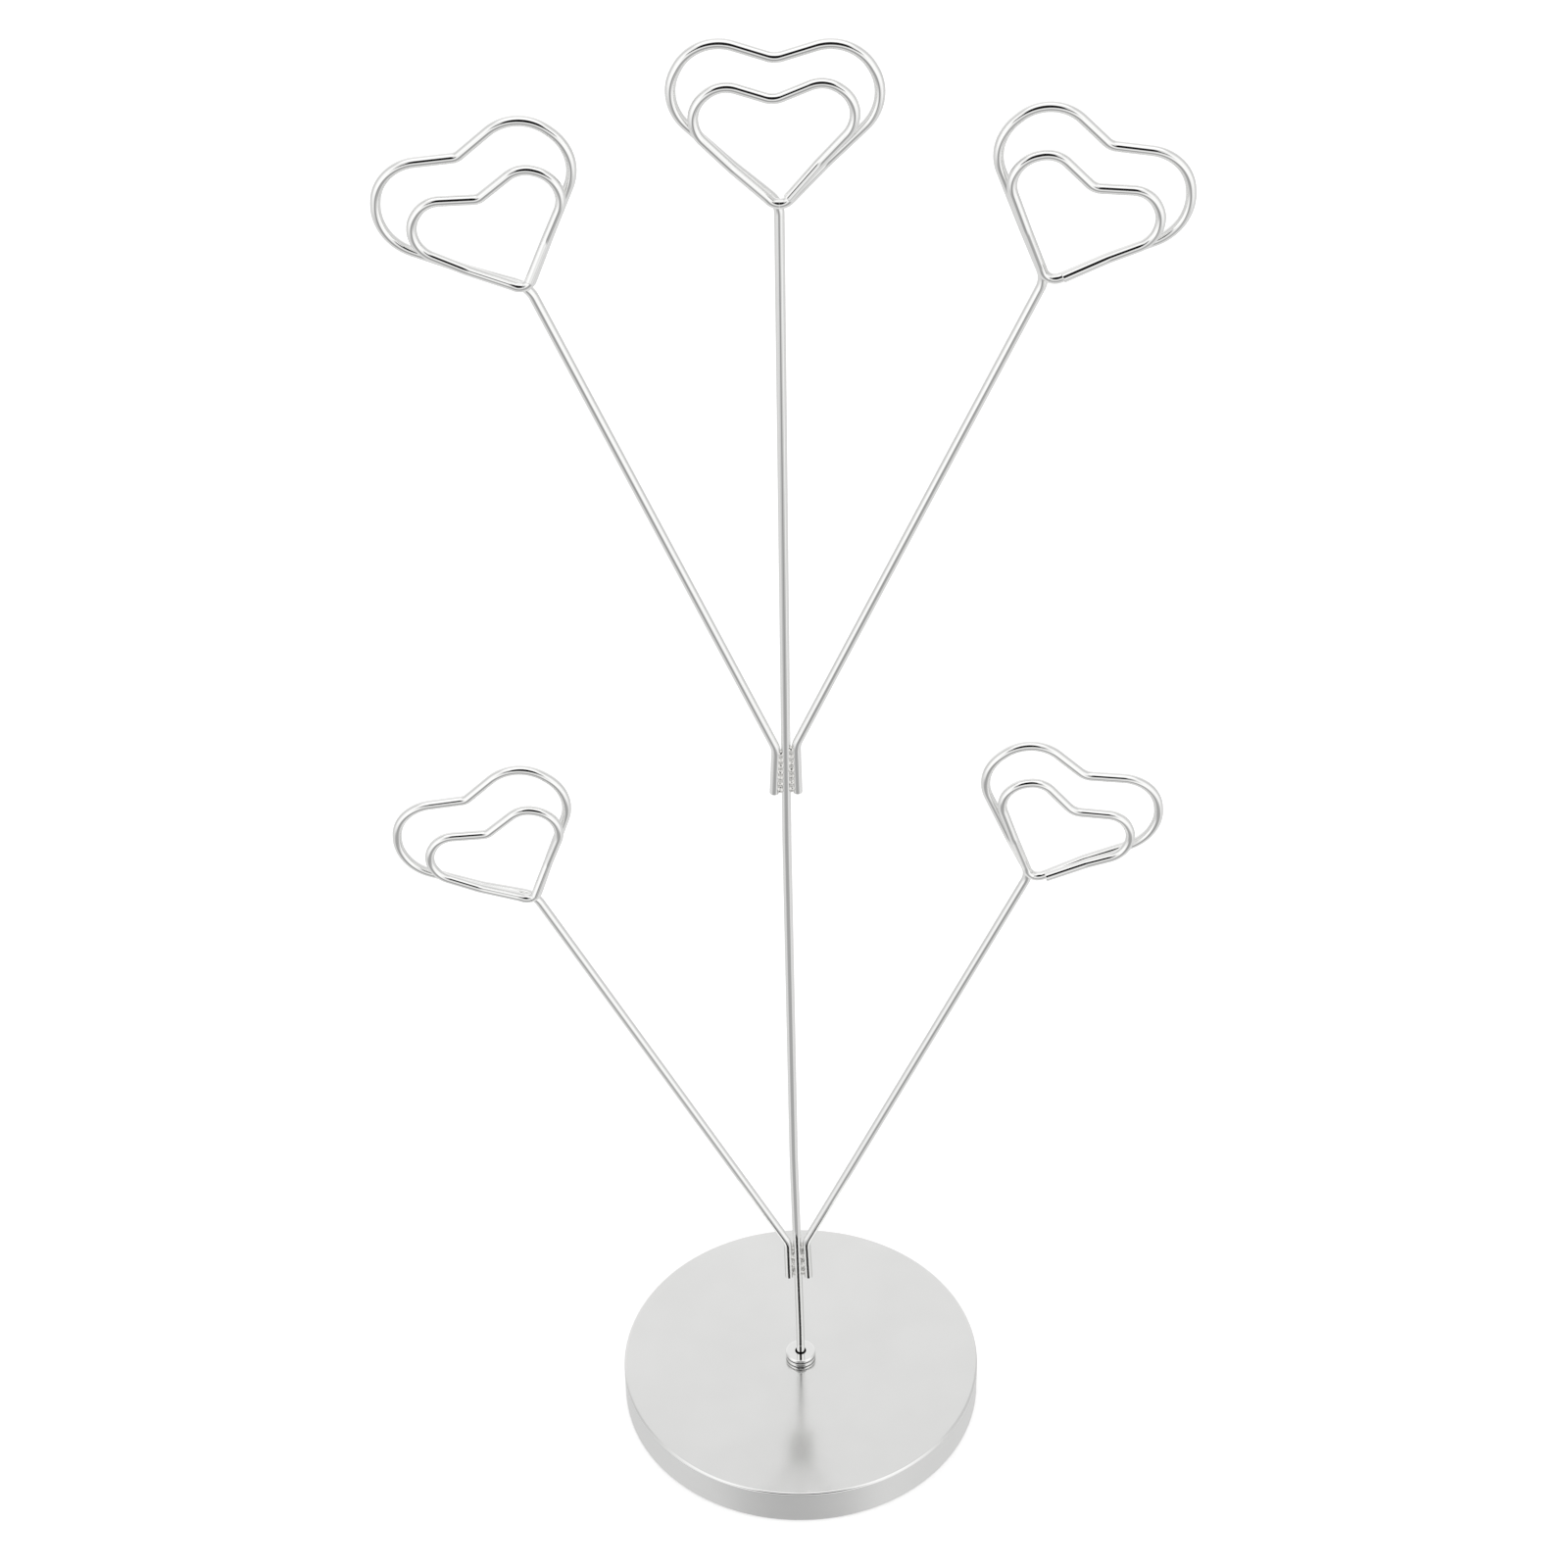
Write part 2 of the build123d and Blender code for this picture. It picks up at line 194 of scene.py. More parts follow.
def bump(tree: bpy.types.NodeTree, height: Any, strength: float, depth_mm: float, below: Any = None) -> Any:
    """Add a bump.

    Args:
        tree: the material's node tree.
        height: output socket with the height, from 0 to 1.
        strength: how strongly the bump shows, from 0 to 1.
        depth_mm: how deep it is, in millimetres.
        below: output socket of the bump that it lies on, if there is one.

    Returns:
        The output socket with the normal.
    """
    values = {"Height": height, "Strength": strength, "Distance": depth_mm * MM}
    if below is not None:
        values["Normal"] = below
    return add_node(tree, "Bump", values).outputs[0]


def round_place(tree: bpy.types.NodeTree, place: Any) -> tuple[Any, Any]:
    """Take a place apart for a part that is round about the base's axis.

    Args:
        tree: the material's node tree.
        place: output socket with the place.

    Returns:
        The output sockets of the distance from the axis and of the height, in metres.
    """
    split = add_node(tree, "SeparateXYZ", {0: place})
    flat = add_node(tree, "CombineXYZ", {0: split.outputs[0], 1: split.outputs[1]})
    return calculate(tree, "LENGTH", flat.outputs[0], kind="VectorMath"), split.outputs[2]


def empty_material(name: str) -> tuple[bpy.types.Material, bpy.types.NodeTree]:
    """Make a material without nodes.

    Args:
        name: the material's name.

    Returns:
        The material and its node tree.
    """
    material = bpy.data.materials.new(name)
    material.use_nodes = True
    material.node_tree.nodes.clear()
    return material, material.node_tree


@dataclass(frozen=True)
class Finish:
    """One material: its surface values, and the patterns that its subclass adds."""

    name: str
    colour: str
    metallic: float
    roughness: float

    def build(self) -> bpy.types.Material:
        """Make the material.

        Returns:
            The material, with its nodes in place.
        """
        material, tree = empty_material(self.name)
        surface = add_node(tree, "BsdfPrincipled", {
            "Base Color": linear(self.colour), "Metallic": self.metallic, "Roughness": self.roughness})
        add_node(tree, "OutputMaterial", {"Surface": surface.outputs[0]})
        fill(tree, surface, self.pattern(tree))
        material.diffuse_color = linear(self.colour)
        material.metallic = self.metallic
        material.roughness = self.roughness
        return material

    def pattern(self, tree: bpy.types.NodeTree) -> dict[str | int, Any]:
        """Add the finish's own detail and give the surface's inputs that it feeds; a plain finish has none."""
        return {}

    def dulled(self, tree: bpy.types.NodeTree, value: Any, start: float, end: float,
               shares: tuple[float, float]) -> Any:
        """Let the roughness change with a pattern.

        Args:
            tree: the material's node tree.
            value: output socket with the pattern.
            start: where the change starts in it.
            end: where the change ends.
            shares: the roughness at the start and at the end, as shares of the finish's own.

        Returns:
            The output socket with the roughness.
        """
        return remap(tree, value, start, end, self.roughness * shares[0], self.roughness * shares[1])


@dataclass(frozen=True)
class BrightPlating(Finish):
    """Bright nickel and chromium plating on drawn steel wire: a mirror with faint lines along the wire."""

    line_pitch_mm: float = 0.16
    line_stretch: float = 0.012
    ripple_mm: float = 6.0
    dulling: tuple[float, float] = (0.7, 1.5)

    def pattern(self, tree: bpy.types.NodeTree) -> dict[str | int, Any]:
        """Add the die's drawing lines, the plating's slow ripple and patches that are a little duller."""
        run = add_node(tree, "Attribute", {"attribute_name": "wire_run"}).outputs["Vector"]
        # Drawing lines run along the wire; real ones are finer and are drawn this coarse to show
        stretched = add_node(tree, "Mapping", {"Scale": (self.line_stretch, 1.0, 1.0), "Vector": run})
        lines = grain(tree, self.line_pitch_mm, stretched.outputs[0])
        fine = bump(tree, lines, strength=0.05, depth_mm=0.02)
        ripple = grain(tree, self.ripple_mm, run, detail=1.0)
        return {"Roughness": self.dulled(tree, lines, 0.0, 1.0, self.dulling),
                "Normal": bump(tree, ripple, strength=0.25, depth_mm=0.08, below=fine)}


@dataclass(frozen=True)
class SatinPlating(Finish):
    """Satin nickel on a pressed steel cup: fine blasted grain, with an edge that handling has burnished."""

    grain_mm: float = 0.22
    cloud_mm: float = 14.0
    cloud_colour: str = "EDEDEC"
    edge_radius_mm: float = 39.55
    edge_width_mm: float = 0.1
    edge_heights_mm: tuple[float, float] = (8.2, 8.5)
    edge_roughness: float = 0.06
    side_heights_mm: tuple[float, float] = (8.6, 8.3)
    side_roughness: float = 0.36
    mottling: tuple[float, float] = (0.88, 1.12)

    def pattern(self, tree: bpy.types.NodeTree) -> dict[str | int, Any]:
        """Add the grain, slow clouding and the burnished edge."""
        place = add_node(tree, "TexCoord").outputs["Object"]
        specks = grain(tree, self.grain_mm, place)
        cloud = grain(tree, self.cloud_mm, place)
        radius, height = round_place(tree, place)
        outer = remap(tree, radius, (self.edge_radius_mm - self.edge_width_mm) * MM, self.edge_radius_mm * MM)
        high = remap(tree, height, *(z * MM for z in self.edge_heights_mm))
        edge = calculate(tree, "MULTIPLY", outer, high)
        top = blend(tree, edge, self.dulled(tree, specks, 0.3, 0.7, self.mottling), self.edge_roughness)
        wall = remap(tree, height, *(z * MM for z in self.side_heights_mm))
        return {"Base Color": ramp(tree, cloud, [(0.35, self.colour), (0.65, self.cloud_colour)]),
                "Roughness": blend(tree, wall, top, self.side_roughness),
                "Normal": bump(tree, specks, strength=0.05, depth_mm=0.03)}


@dataclass(frozen=True)
class TurnedPlating(Finish):
    """Bright plating on a turned bush: fine rings left by the lathe under the mirror, and painted shade at its
    foot, in its groove and in its mouth.
    """

    ring_pitch_mm: float = 0.25
    foot_mm: float = 9.0
    height_mm: float = 2.0
    mouth_mm: float = 1.24
    mouth_blend_mm: float = 0.03
    # Painted shade: near-black colour for the contact shadow at the foot, the shade in the groove and the dark
    # mouth
    painted_shade_colour: str = "101010"
    painted_shade_bands: tuple[tuple[float, float], ...] = ((0.0, 0.07), (0.46, 0.62))
    painted_shade_blends: tuple[float, float] = (0.04, 0.02)
    speck_mm: float = 0.6
    dulling: tuple[float, float] = (1.0, 2.5)

    def pattern(self, tree: bpy.types.NodeTree) -> dict[str | int, Any]:
        """Add the turning rings, small dull specks, and painted shade at the foot, in the groove and in the mouth.
        """
        place = add_node(tree, "TexCoord").outputs["Object"]
        radius, height = round_place(tree, place)
        rise = remap(tree, height, self.foot_mm * MM, (self.foot_mm + self.height_mm) * MM)
        # Rings of painted shade by height: the contact shadow at the foot and the shade in the groove
        (foot, foot_end), (groove, groove_end) = self.painted_shade_bands
        foot_blend, groove_blend = self.painted_shade_blends
        shade_bands = ramp(tree, rise, [
            (foot, self.painted_shade_colour), (foot_end, self.painted_shade_colour), (foot_end + foot_blend, self.colour),
            (groove - groove_blend, self.colour), (groove, self.painted_shade_colour), (groove_end, self.painted_shade_colour),
            (groove_end + groove_blend, self.colour)])
        # Painted shade inside the mouth, where the bore is dark
        inside = remap(tree, radius, (self.mouth_mm + self.mouth_blend_mm) * MM, self.mouth_mm * MM)
        tone = add_node(tree, "Mix", {"data_type": "RGBA", 0: inside, 6: shade_bands, 7: linear(self.painted_shade_colour)})
        rings = add_node(tree, "TexWave", {
            "wave_type": "RINGS", "rings_direction": "Z", "Scale": WAVE_LENGTH / (self.ring_pitch_mm * MM),
            "Distortion": 0.6, "Detail": 1.0, "Vector": place})
        specks = grain(tree, self.speck_mm, place)
        return {"Base Color": tone.outputs[2],
                "Roughness": self.dulled(tree, specks, 0.4, 0.75, self.dulling),
                "Normal": bump(tree, rings.outputs["Fac"], strength=0.06, depth_mm=0.02)}


@dataclass(frozen=True)
class PlatedBraze(Finish):
    """Lumpy silver braze under the plating: bright tops with dull pits between them."""

    pit_mm: float = 0.35
    # Darker colour for the bottoms of the pits
    pit_colour: str = "5C5A57"
    dulling: tuple[float, float] = (1.6, 0.7)

    def pattern(self, tree: bpy.types.NodeTree) -> dict[str | int, Any]:
        """Add pits, darker in their bottoms."""
        place = add_node(tree, "TexCoord").outputs["Object"]
        pits = grain(tree, self.pit_mm, place, detail=4.0)
        return {"Base Color": ramp(tree, pits, [(0.30, self.pit_colour), (0.38, self.colour)]),
                "Roughness": self.dulled(tree, pits, 0.3, 0.6, self.dulling),
                "Normal": bump(tree, pits, strength=0.5, depth_mm=0.1)}


@dataclass(frozen=True)
class FoamRubber(Finish):
    """Closed-cell foam rubber: matt, with fine open cells on its cut face."""

    cell_mm: float = 0.5
    cell_colour: str = "161616"

    def pattern(self, tree: bpy.types.NodeTree) -> dict[str | int, Any]:
        """Add the cells and their darker bottoms."""
        place = add_node(tree, "TexCoord").outputs["Object"]
        cells = add_node(tree, "TexVoronoi", {"Scale": 1.0 / (self.cell_mm * MM), "Vector": place})
        cells = cells.outputs["Distance"]
        return {"Base Color": ramp(tree, cells, [(0.0, self.cell_colour), (0.6, self.colour)]),
                "Normal": bump(tree, cells, strength=0.4, depth_mm=0.1)}


@dataclass(frozen=True)
class CoarseMetal(Finish):
    """Cast, zinc-plated or moulded surface that stays inside the base: colour and grain only."""

    grain_mm: float = 0.8
    second_colour: str = "3A3A3A"

    def pattern(self, tree: bpy.types.NodeTree) -> dict[str | int, Any]:
        """Add a two-tone grain and its bump."""
        place = add_node(tree, "TexCoord").outputs["Object"]
        specks = grain(tree, self.grain_mm, place, detail=5.0)
        return {"Base Color": ramp(tree, specks, [(0.35, self.second_colour), (0.6, self.colour)]),
                "Normal": bump(tree, specks, strength=0.4, depth_mm=0.1)}


@dataclass(frozen=True)
class Finishes:
    """All finishes of the stand."""

    wire: Finish = BrightPlating("Bright plated drawn wire", "F2F2F1", 1.0, 0.045)
    shell: Finish = SatinPlating("Satin nickel plated steel", "EAEAE9", 1.0, 0.17)
    collar: Finish = TurnedPlating("Bright plated turned steel", "F2F2F1", 1.0, 0.05)
    braze: Finish = PlatedBraze("Plated silver braze", "E2E1DE", 1.0, 0.16)
    pad: Finish = FoamRubber("Closed cell foam rubber", "2E2E2D", 0.0, 0.9)
    weight: Finish = CoarseMetal("Grey cast iron", "55524E", 0.9, 0.6)
    washer: Finish = CoarseMetal("Moulded natural nylon", "E6E2D6", 0.0, 0.45, 0.6, "D8D3C4")
    cap: Finish = CoarseMetal("Zinc plated spring steel", "B9BCC0", 1.0, 0.35, 0.5, "9A9DA1")


class Clip(Enum):
    """The five double-heart clips, by where they are on the tree."""

    TOP = "top"
    UPPER_LEFT = "upper_left"
    UPPER_RIGHT = "upper_right"
    LOWER_LEFT = "lower_left"
    LOWER_RIGHT = "lower_right"

    @property
    def on_arm(self) -> bool:
        """Whether the clip sits on an arm and not on the stem."""
        return self is not Clip.TOP


def new_piece(name: str, bm: bmesh.types.BMesh, material: bpy.types.Material, body: str,
              smooth: bool = True) -> bpy.types.Object:
    """Make an object of a finished bmesh, dress it and let it ride on a body.

    Args:
        name: the piece's name.
        bm: its mesh, in metres in the stand's frame; it is freed here.
        material: its finish.
        body: the body that it moves with.
        smooth: whether its faces are shaded smooth.

    Returns:
        The new object.
    """
    for face in bm.faces:
        face.smooth = smooth
    mesh = bpy.data.meshes.new(name)
    bm.to_mesh(mesh)
    bm.free()
    mesh.materials.append(material)
    piece = bpy.data.objects.new(name, mesh)
    bpy.context.scene.collection.objects.link(piece)
    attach(piece, body)
    log.info("%s: %d faces, rides on %s", name, len(mesh.polygons), body)
    return piece


def guarded(points: list[Vector], reach: float, least: float) -> list[Vector]:
    """Add a point close to both ends of each long run, so that its shading doesn't bend.

    Args:
        points: the line's points.
        reach: how far from a run's end the added point lies.
        least: length from which a run is long.

    Returns:
        The points with the added ones.
    """
    line = [points[0]]
    for start, end in zip(points, points[1:]):
        if (end - start).length > least:
            step = (end - start).normalized() * reach
            line += [start + step, end - step]
        line.append(end)
    return line


@dataclass
class WireRun:
    """A round wire bent through corner points, each with its own bend radius, all in millimetres."""

    points: list[Vector]
    radii: list[float]
    run_share: float = 0.96
    step_degrees: float = 3.0
    least_degrees: float = 0.02

    def tangent_length(self, i: int) -> float:
        """How far from corner i its arc begins.

        Args:
            i: number of the corner, from 1.

        Returns:
            The distance in millimetres.
        """
        turn = (self.points[i] - self.points[i - 1]).angle(self.points[i + 1] - self.points[i])
        return self.radii[i - 1] * tan(turn / 2)

    def fit(self) -> "WireRun":
        """Make the radii smaller where a run is too short for the arcs at its two ends.

        Returns:
            This run, with its radii fitted.
        """
        last = len(self.points) - 1
        taken = [0.0] + [self.tangent_length(i) for i in range(1, last)] + [0.0]
        shrink = [1.0] * (last + 1)
        for i in range(last):
            room = (self.points[i + 1] - self.points[i]).length * self.run_share
            if taken[i] + taken[i + 1] > room:
                factor = room / (taken[i] + taken[i + 1])
                shrink[i] = min(shrink[i], factor)
                shrink[i + 1] = min(shrink[i + 1], factor)
        self.radii = [self.radii[i - 1] * shrink[i] for i in range(1, last)]
        return self

    def stations(self) -> list[Vector]:
        """Points along the middle line, close together in the bends.

        Returns:
            The points, from one end of the wire to the other.
        """
        line = [self.points[0].copy()]
        for i in range(1, len(self.points) - 1):
            corner = self.points[i]
            before = (self.points[i - 1] - corner).normalized()
            after = (self.points[i + 1] - corner).normalized()
            turn = pi - before.angle(after)
            if turn < radians(self.least_degrees):
                continue
            reach = self.radii[i - 1] * tan(turn / 2)
            centre = corner + (before + after).normalized() * (self.radii[i - 1] / cos(turn / 2))
            first = corner + before * reach - centre
            axis = (corner - self.points[i - 1]).cross(self.points[i + 1] - corner)
            count = max(2, round(degrees(turn) / self.step_degrees))
            line += [centre + Quaternion(axis, turn * k / count) @ first for k in range(count + 1)]
        line.append(self.points[-1].copy())
        return line


Hands = dict[str, float]


def hands(top: float, upper_left: float, upper_right: float, lower_left: float, lower_right: float) -> Any:
    """One value for each clip, as each was bent by hand.

    Args:
        top: the top clip's value.
        upper_left: the upper left clip's value.
        upper_right: the upper right clip's value.
        lower_left: the lower left clip's value.
        lower_right: the lower right clip's value.

    Returns:
        A dataclass field with the values by the clips' names.
    """
    values = dict(zip((clip.value for clip in Clip), (top, upper_left, upper_right, lower_left, lower_right)))
    return field(default_factory=lambda: dict(values))


@dataclass
class ClipShape:
    """The bent shape of one clip, from its neck to its free end, in millimetres."""

    clip: Clip
    neck: Vector
    wire_diameter: float = 1.85
    loop_gap: float = 0.15
    neck_radius: float = 4.8
    rear_shoulder: tuple[float, float, float] = (19.95, 20.0, 9.2)
    rear_crown: tuple[float, float, float] = (13.4, 32.2, 8.3)
    rear_cleft: float = 27.8
    front_shoulder: tuple[float, float, float] = (16.6, 18.0, 6.0)
    front_crown: tuple[float, float, float] = (9.0, 23.6, 5.4)
    front_cleft: float = 20.3
    cleft_radius: float = 2.4
    tip_aim: tuple[float, float] = (-0.4, 0.85)
    tip_cut_back: float = 2.85
    vee_height: float = 0.3
    vee_radius: float = 2.35
    vee_cut: float = 0.05
    crossing_start: float = 0.7
    crossing_run: float = 8.4
    crossing_radius: float = 8.0
    lobe_lean: float = 1.36
    front_shift: float = 0.9
    rear_shift: float = 0.1
    cleft_lift: float = 0.3
    leans: Hands = hands(-0.65, -22.46, 21.58, -25.53, 21.71)
    lobe_leans: Hands = hands(0.285, -0.17, 1.0, -0.09, 0.605)
    rear_widths: Hands = hands(0.987, 0.997, 0.989, 1.002, 1.012)
    rear_heights: Hands = hands(0.991, 1.0, 1.01, 1.011, 0.994)
    rear_shifts: Hands = hands(-1.1, -0.7, -0.8, 0.1, -1.3)
    cleft_lifts: Hands = hands(0.0, 0.9, -0.1, 0.7, -0.9)
    cleft_radii: Hands = hands(1.6, 1.0, 1.4, 1.1, 1.8)
    tip_heights: Hands = hands(1.0, 1.0, 1.5, 1.0, 1.7)
    vee_heights: Hands = hands(-0.3, 1.5, 1.5, 1.0, 1.0)
    front_widths: Hands = hands(0.987, 0.987, 0.996, 0.995, 1.016)
    front_heights: Hands = hands(1.032, 0.991, 1.018, 0.99, 0.994)
    front_turns: Hands = hands(-1.27, 1.64, 3.57, 2.38, 7.27)
    front_shifts: Hands = hands(0.0, -0.2, -1.45, -0.45, -2.19)

    def __post_init__(self) -> None:
        """Work out the clip's plane and its lowest bend."""
        lean = radians(self.leans[self.clip.value])
        self.across = Vector((cos(lean), 0, -sin(lean)))
        self.along = Vector((sin(lean), 0, cos(lean)))
        self.step = self.wire_diameter + self.loop_gap
        self.corner = (0.0, self.vee_height * self.vee_heights[self.clip.value])
        self.vee_corner = self.place((*self.corner, self.step))
        to_right = self.place(self.towards(self.corner, self.rear_corners()[-1], 1.0, self.step)) - self.vee_corner
        to_left = self.place(self.towards(self.corner, self.front_corners()[0], 1.0, self.step)) - self.vee_corner
        opening = to_right.angle(to_left)
        self.rise = (to_right.normalized() + to_left.normalized()).normalized()
        self.side = (to_right.normalized() - to_left.normalized()).normalized()
        self.vee_centre = self.vee_corner + self.rise * (self.vee_radius / sin(opening / 2))
        self.arc = pi / 2 - opening / 2
        self.leg_taken = self.vee_radius * tan(self.arc)

    def place(self, spot: tuple[float, float, float]) -> Vector:
        """Take a point of the clip's own plane to the stand's frame.

        Args:
            spot: distance across, along and in front of the clip's plane.

        Returns:
            The point in the stand's frame.
        """
        return self.neck + self.across * spot[0] + self.along * spot[1] + Vector((0, -spot[2], 0))

    def towards(self, start: tuple[float, ...], end: tuple[float, ...], distance: float,
                forward: float) -> tuple[float, float, float]:
        """Point at a distance from one point of the plane towards another.

        Args:
            start: where the way starts.
            end: what it leads to.
            distance: how far along it the point lies.
            forward: how far in front of the clip's plane the point lies.

        Returns:
            Distance across, along and in front of the plane.
        """
        step = (Vector(end[:2]) - Vector(start[:2])).normalized() * distance
        return (start[0] + step.x, start[1] + step.y, forward)

    def rear_corners(self) -> list[tuple[float, float]]:
        """Corners of the rear heart, from its left shoulder to its right one."""
        name = self.clip.value
        wide, high = self.rear_widths[name], self.rear_heights[name]
        shift = self.rear_shift * self.rear_shifts[name]
        lean = self.lobe_lean * self.lobe_leans[name]
        lift = self.cleft_lift * self.cleft_lifts[name]
        return [(shift - self.rear_shoulder[0] * wide, self.rear_shoulder[1] * high + lean),
                (shift - self.rear_crown[0] * wide, self.rear_crown[1] * high + lean),
                (shift, self.rear_cleft * high + lift),
                (shift + self.rear_crown[0] * wide, self.rear_crown[1] * high - lean),
                (shift + self.rear_shoulder[0] * wide, self.rear_shoulder[1] * high - lean)]

    def front_corners(self) -> list[tuple[float, float]]:
        """Corners of the front heart, from its left shoulder to its right one."""
        name = self.clip.value
        wide, high = self.front_widths[name], self.front_heights[name]
        turn = radians(self.front_turns[name])
        shift = self.front_shift * self.front_shifts[name]
        lift = self.cleft_lift * self.cleft_lifts[name]
        heart = [(-self.front_shoulder[0] * wide, self.front_shoulder[1] * high),
                 (-self.front_crown[0] * wide, self.front_crown[1] * high),
                 (0.0, self.front_cleft * high + lift),
                 (self.front_crown[0] * wide, self.front_crown[1] * high),
                 (self.front_shoulder[0] * wide, self.front_shoulder[1] * high)]
        return [(x * cos(turn) + y * sin(turn) + shift, y * cos(turn) - x * sin(turn)) for x, y in heart]

    def vee_point(self, angle: float) -> Vector:
        """Point of the lowest bend at an angle from its bottom, positive to the right."""
        aside, down = self.vee_radius * sin(angle), self.vee_radius * cos(angle)
        return self.vee_centre + self.side * aside - self.rise * down

    def half_vee(self, side: int, count: int = 26) -> list[Vector]:
        """Points of half the lowest bend, from just beside its bottom to its leg.

        Args:
            side: 1 for the right half and -1 for the left one.
            count: how many steps the half has.

        Returns:
            The points.
        """
        cut = self.vee_cut / 2 / self.vee_radius
        return [self.vee_point(side * (cut + (self.arc - cut) * k / count)) for k in range(count + 1)]

    def rear_line(self, before: list[Vector], before_radii: list[float]) -> list[Vector]:
        """Middle line of the wire that carries the clip, its rear heart and the right half of the bend.

        Args:
            before: corner points of the stem or arm, up to the neck.
            before_radii: their bend radii.

        Returns:
            Stations along the middle line.
        """
        corners = self.rear_corners()
        half = self.step / 2
        shoulder = self.place((*corners[0], 0.0))
        turn = (before[-1] - before[-2]).angle(shoulder - before[-1])
        start = self.neck_radius * tan(turn / 2) + self.crossing_start
        finish = self.leg_taken + self.crossing_start
        loop = [self.towards((0.0, 0.0), corners[0], start, 0.0),
                self.towards((0.0, 0.0), corners[0], start + self.crossing_run, half)]
        loop += [(*spot, half) for spot in corners]
        loop += [self.towards(self.corner, corners[-1], finish + self.crossing_run, half),
                 self.towards(self.corner, corners[-1], finish, self.step)]
        points = before + [self.place(spot) for spot in loop] + [self.vee_point(self.arc)]
        crossing = self.crossing_radius
        cleft = self.cleft_radius * self.cleft_radii[self.clip.value]
        radii = before_radii + [self.neck_radius, crossing, crossing, self.rear_shoulder[2], self.rear_crown[2],
                                cleft, self.rear_crown[2], self.rear_shoulder[2], crossing, crossing]
        bends = WireRun(points, radii).fit().stations()
        return bends + self.half_vee(1)[::-1][1:]

    def front_line(self) -> list[Vector]:
        """Middle line of the front loop, from the middle of the lowest bend to the free end."""
        corners = self.front_corners()
        plane = self.step * 1.5
        start = self.leg_taken + self.crossing_start
        tip = (self.tip_aim[0], self.tip_aim[1] * self.tip_heights[self.clip.value])
        loop = [self.towards(self.corner, corners[0], start, self.step),
                self.towards(self.corner, corners[0], start + self.crossing_run, plane)]
        loop += [(*spot, plane) for spot in corners]
        loop += [self.towards(tip, corners[-1], self.tip_cut_back + self.crossing_run, plane),
                 self.towards(tip, corners[-1], self.tip_cut_back, self.step * 2)]
        points = [self.vee_point(-self.arc)] + [self.place(spot) for spot in loop]
        crossing = self.crossing_radius
        cleft = self.cleft_radius * self.cleft_radii[self.clip.value]
        radii = [crossing, crossing, self.front_shoulder[2], self.front_crown[2], cleft,
                 self.front_crown[2], self.front_shoulder[2], crossing]
        bends = WireRun(points, radii).fit().stations()
        return self.half_vee(-1) + bends[1:]


@dataclass
class WireTube:
    """Skin of a round wire along its middle line."""

    stations: list[Vector]
    radius: float = 0.925
    sides: int = 32
    round_start: float = 0.0
    round_end: float = 0.12
    guard_reach: float = 0.2
    long_run: float = 1.0

    def __post_init__(self) -> None:
        """Guard the straight runs."""
        self.stations = guarded(self.stations, self.guard_reach, self.long_run)

    def build(self) -> bmesh.types.BMesh:
        """Extrude a circle from station to station and close both ends.

        Returns:
            The tube in metres, with the place along and round the wire in its wire_run attribute.
        """
        bm = bmesh.new()
        run = bm.verts.layers.float_vector.new("wire_run")
        frames = self.frames()
        ring = bmesh.ops.create_circle(bm, cap_ends=False, segments=self.sides, radius=self.radius * MM,
                                       matrix=frames[0])["verts"]
        first = list(ring)
        self.note(ring, run, frames[0], 0.0)
        edges = list(bm.edges)
        along = 0.0
        for k in range(1, len(frames)):
            along += (self.stations[k] - self.stations[k - 1]).length * MM
            grown = bmesh.ops.extrude_edge_only(bm, edges=edges)["geom"]
            ring = [item for item in grown if isinstance(item, bmesh.types.BMVert)]
            fresh = set(ring)
            edges = [e for v in ring for e in v.link_edges if e.verts[0] in fresh and e.verts[1] in fresh]
            edges = list(dict.fromkeys(edges))
            bmesh.ops.transform(bm, matrix=frames[k] @ frames[k - 1].inverted(), verts=ring)
            self.note(ring, run, frames[k], along)
        bmesh.ops.holes_fill(bm, edges=[e for e in bm.edges if e.is_boundary], sides=0)
        self.finish_end(bm, first, self.round_start)
        self.finish_end(bm, ring, self.round_end)
        bmesh.ops.recalc_face_normals(bm, faces=bm.faces)
        return bm

    def frames(self) -> list[Matrix]:
        """Frame at each station, with Z along the wire and no twist from one to the next."""
        spots = [p * MM for p in self.stations]
        made = []
        ahead = (spots[1] - spots[0]).normalized()
        turn = Vector((0, 0, 1)).rotation_difference(ahead).to_matrix()
        for k, spot in enumerate(spots):
            before = (spot - spots[k - 1]).normalized() if k else ahead
            after = (spots[k + 1] - spot).normalized() if k + 1 < len(spots) else before
            tangent = (before + after).normalized()
            turn = ahead.rotation_difference(tangent).to_matrix() @ turn
            ahead = tangent
            made.append(Matrix.Translation(spot) @ turn.to_4x4())
        return made

    def note(self, ring: list[bmesh.types.BMVert], run: Any, place: Matrix, along: float) -> None:
        """Write the place along and round the wire into a ring's attribute."""
        back = place.inverted()
        for vert in ring:
            local = back @ vert.co
            vert[run] = (along, local.x, local.y)

    def finish_end(self, bm: bmesh.types.BMesh, ring: list[bmesh.types.BMVert], rounding: float) -> None:
        """Round an end's rim, or mark it sharp where the wire runs on into the next piece.

        Args:
            bm: the tube.
            ring: the verts of the end's rim.
            rounding: the rim's radius in millimetres, or 0 for a sharp rim.
        """
        inside = set(ring)
        rim = [e for v in ring for e in v.link_edges if e.verts[0] in inside and e.verts[1] in inside]
        rim = list(dict.fromkeys(rim))
        if rounding:
            bmesh.ops.bevel(bm, geom=rim, offset=rounding * MM, segments=3, profile=0.5, affect="EDGES",
                            material=-1)
        else:
            for edge in rim:
                edge.smooth = False


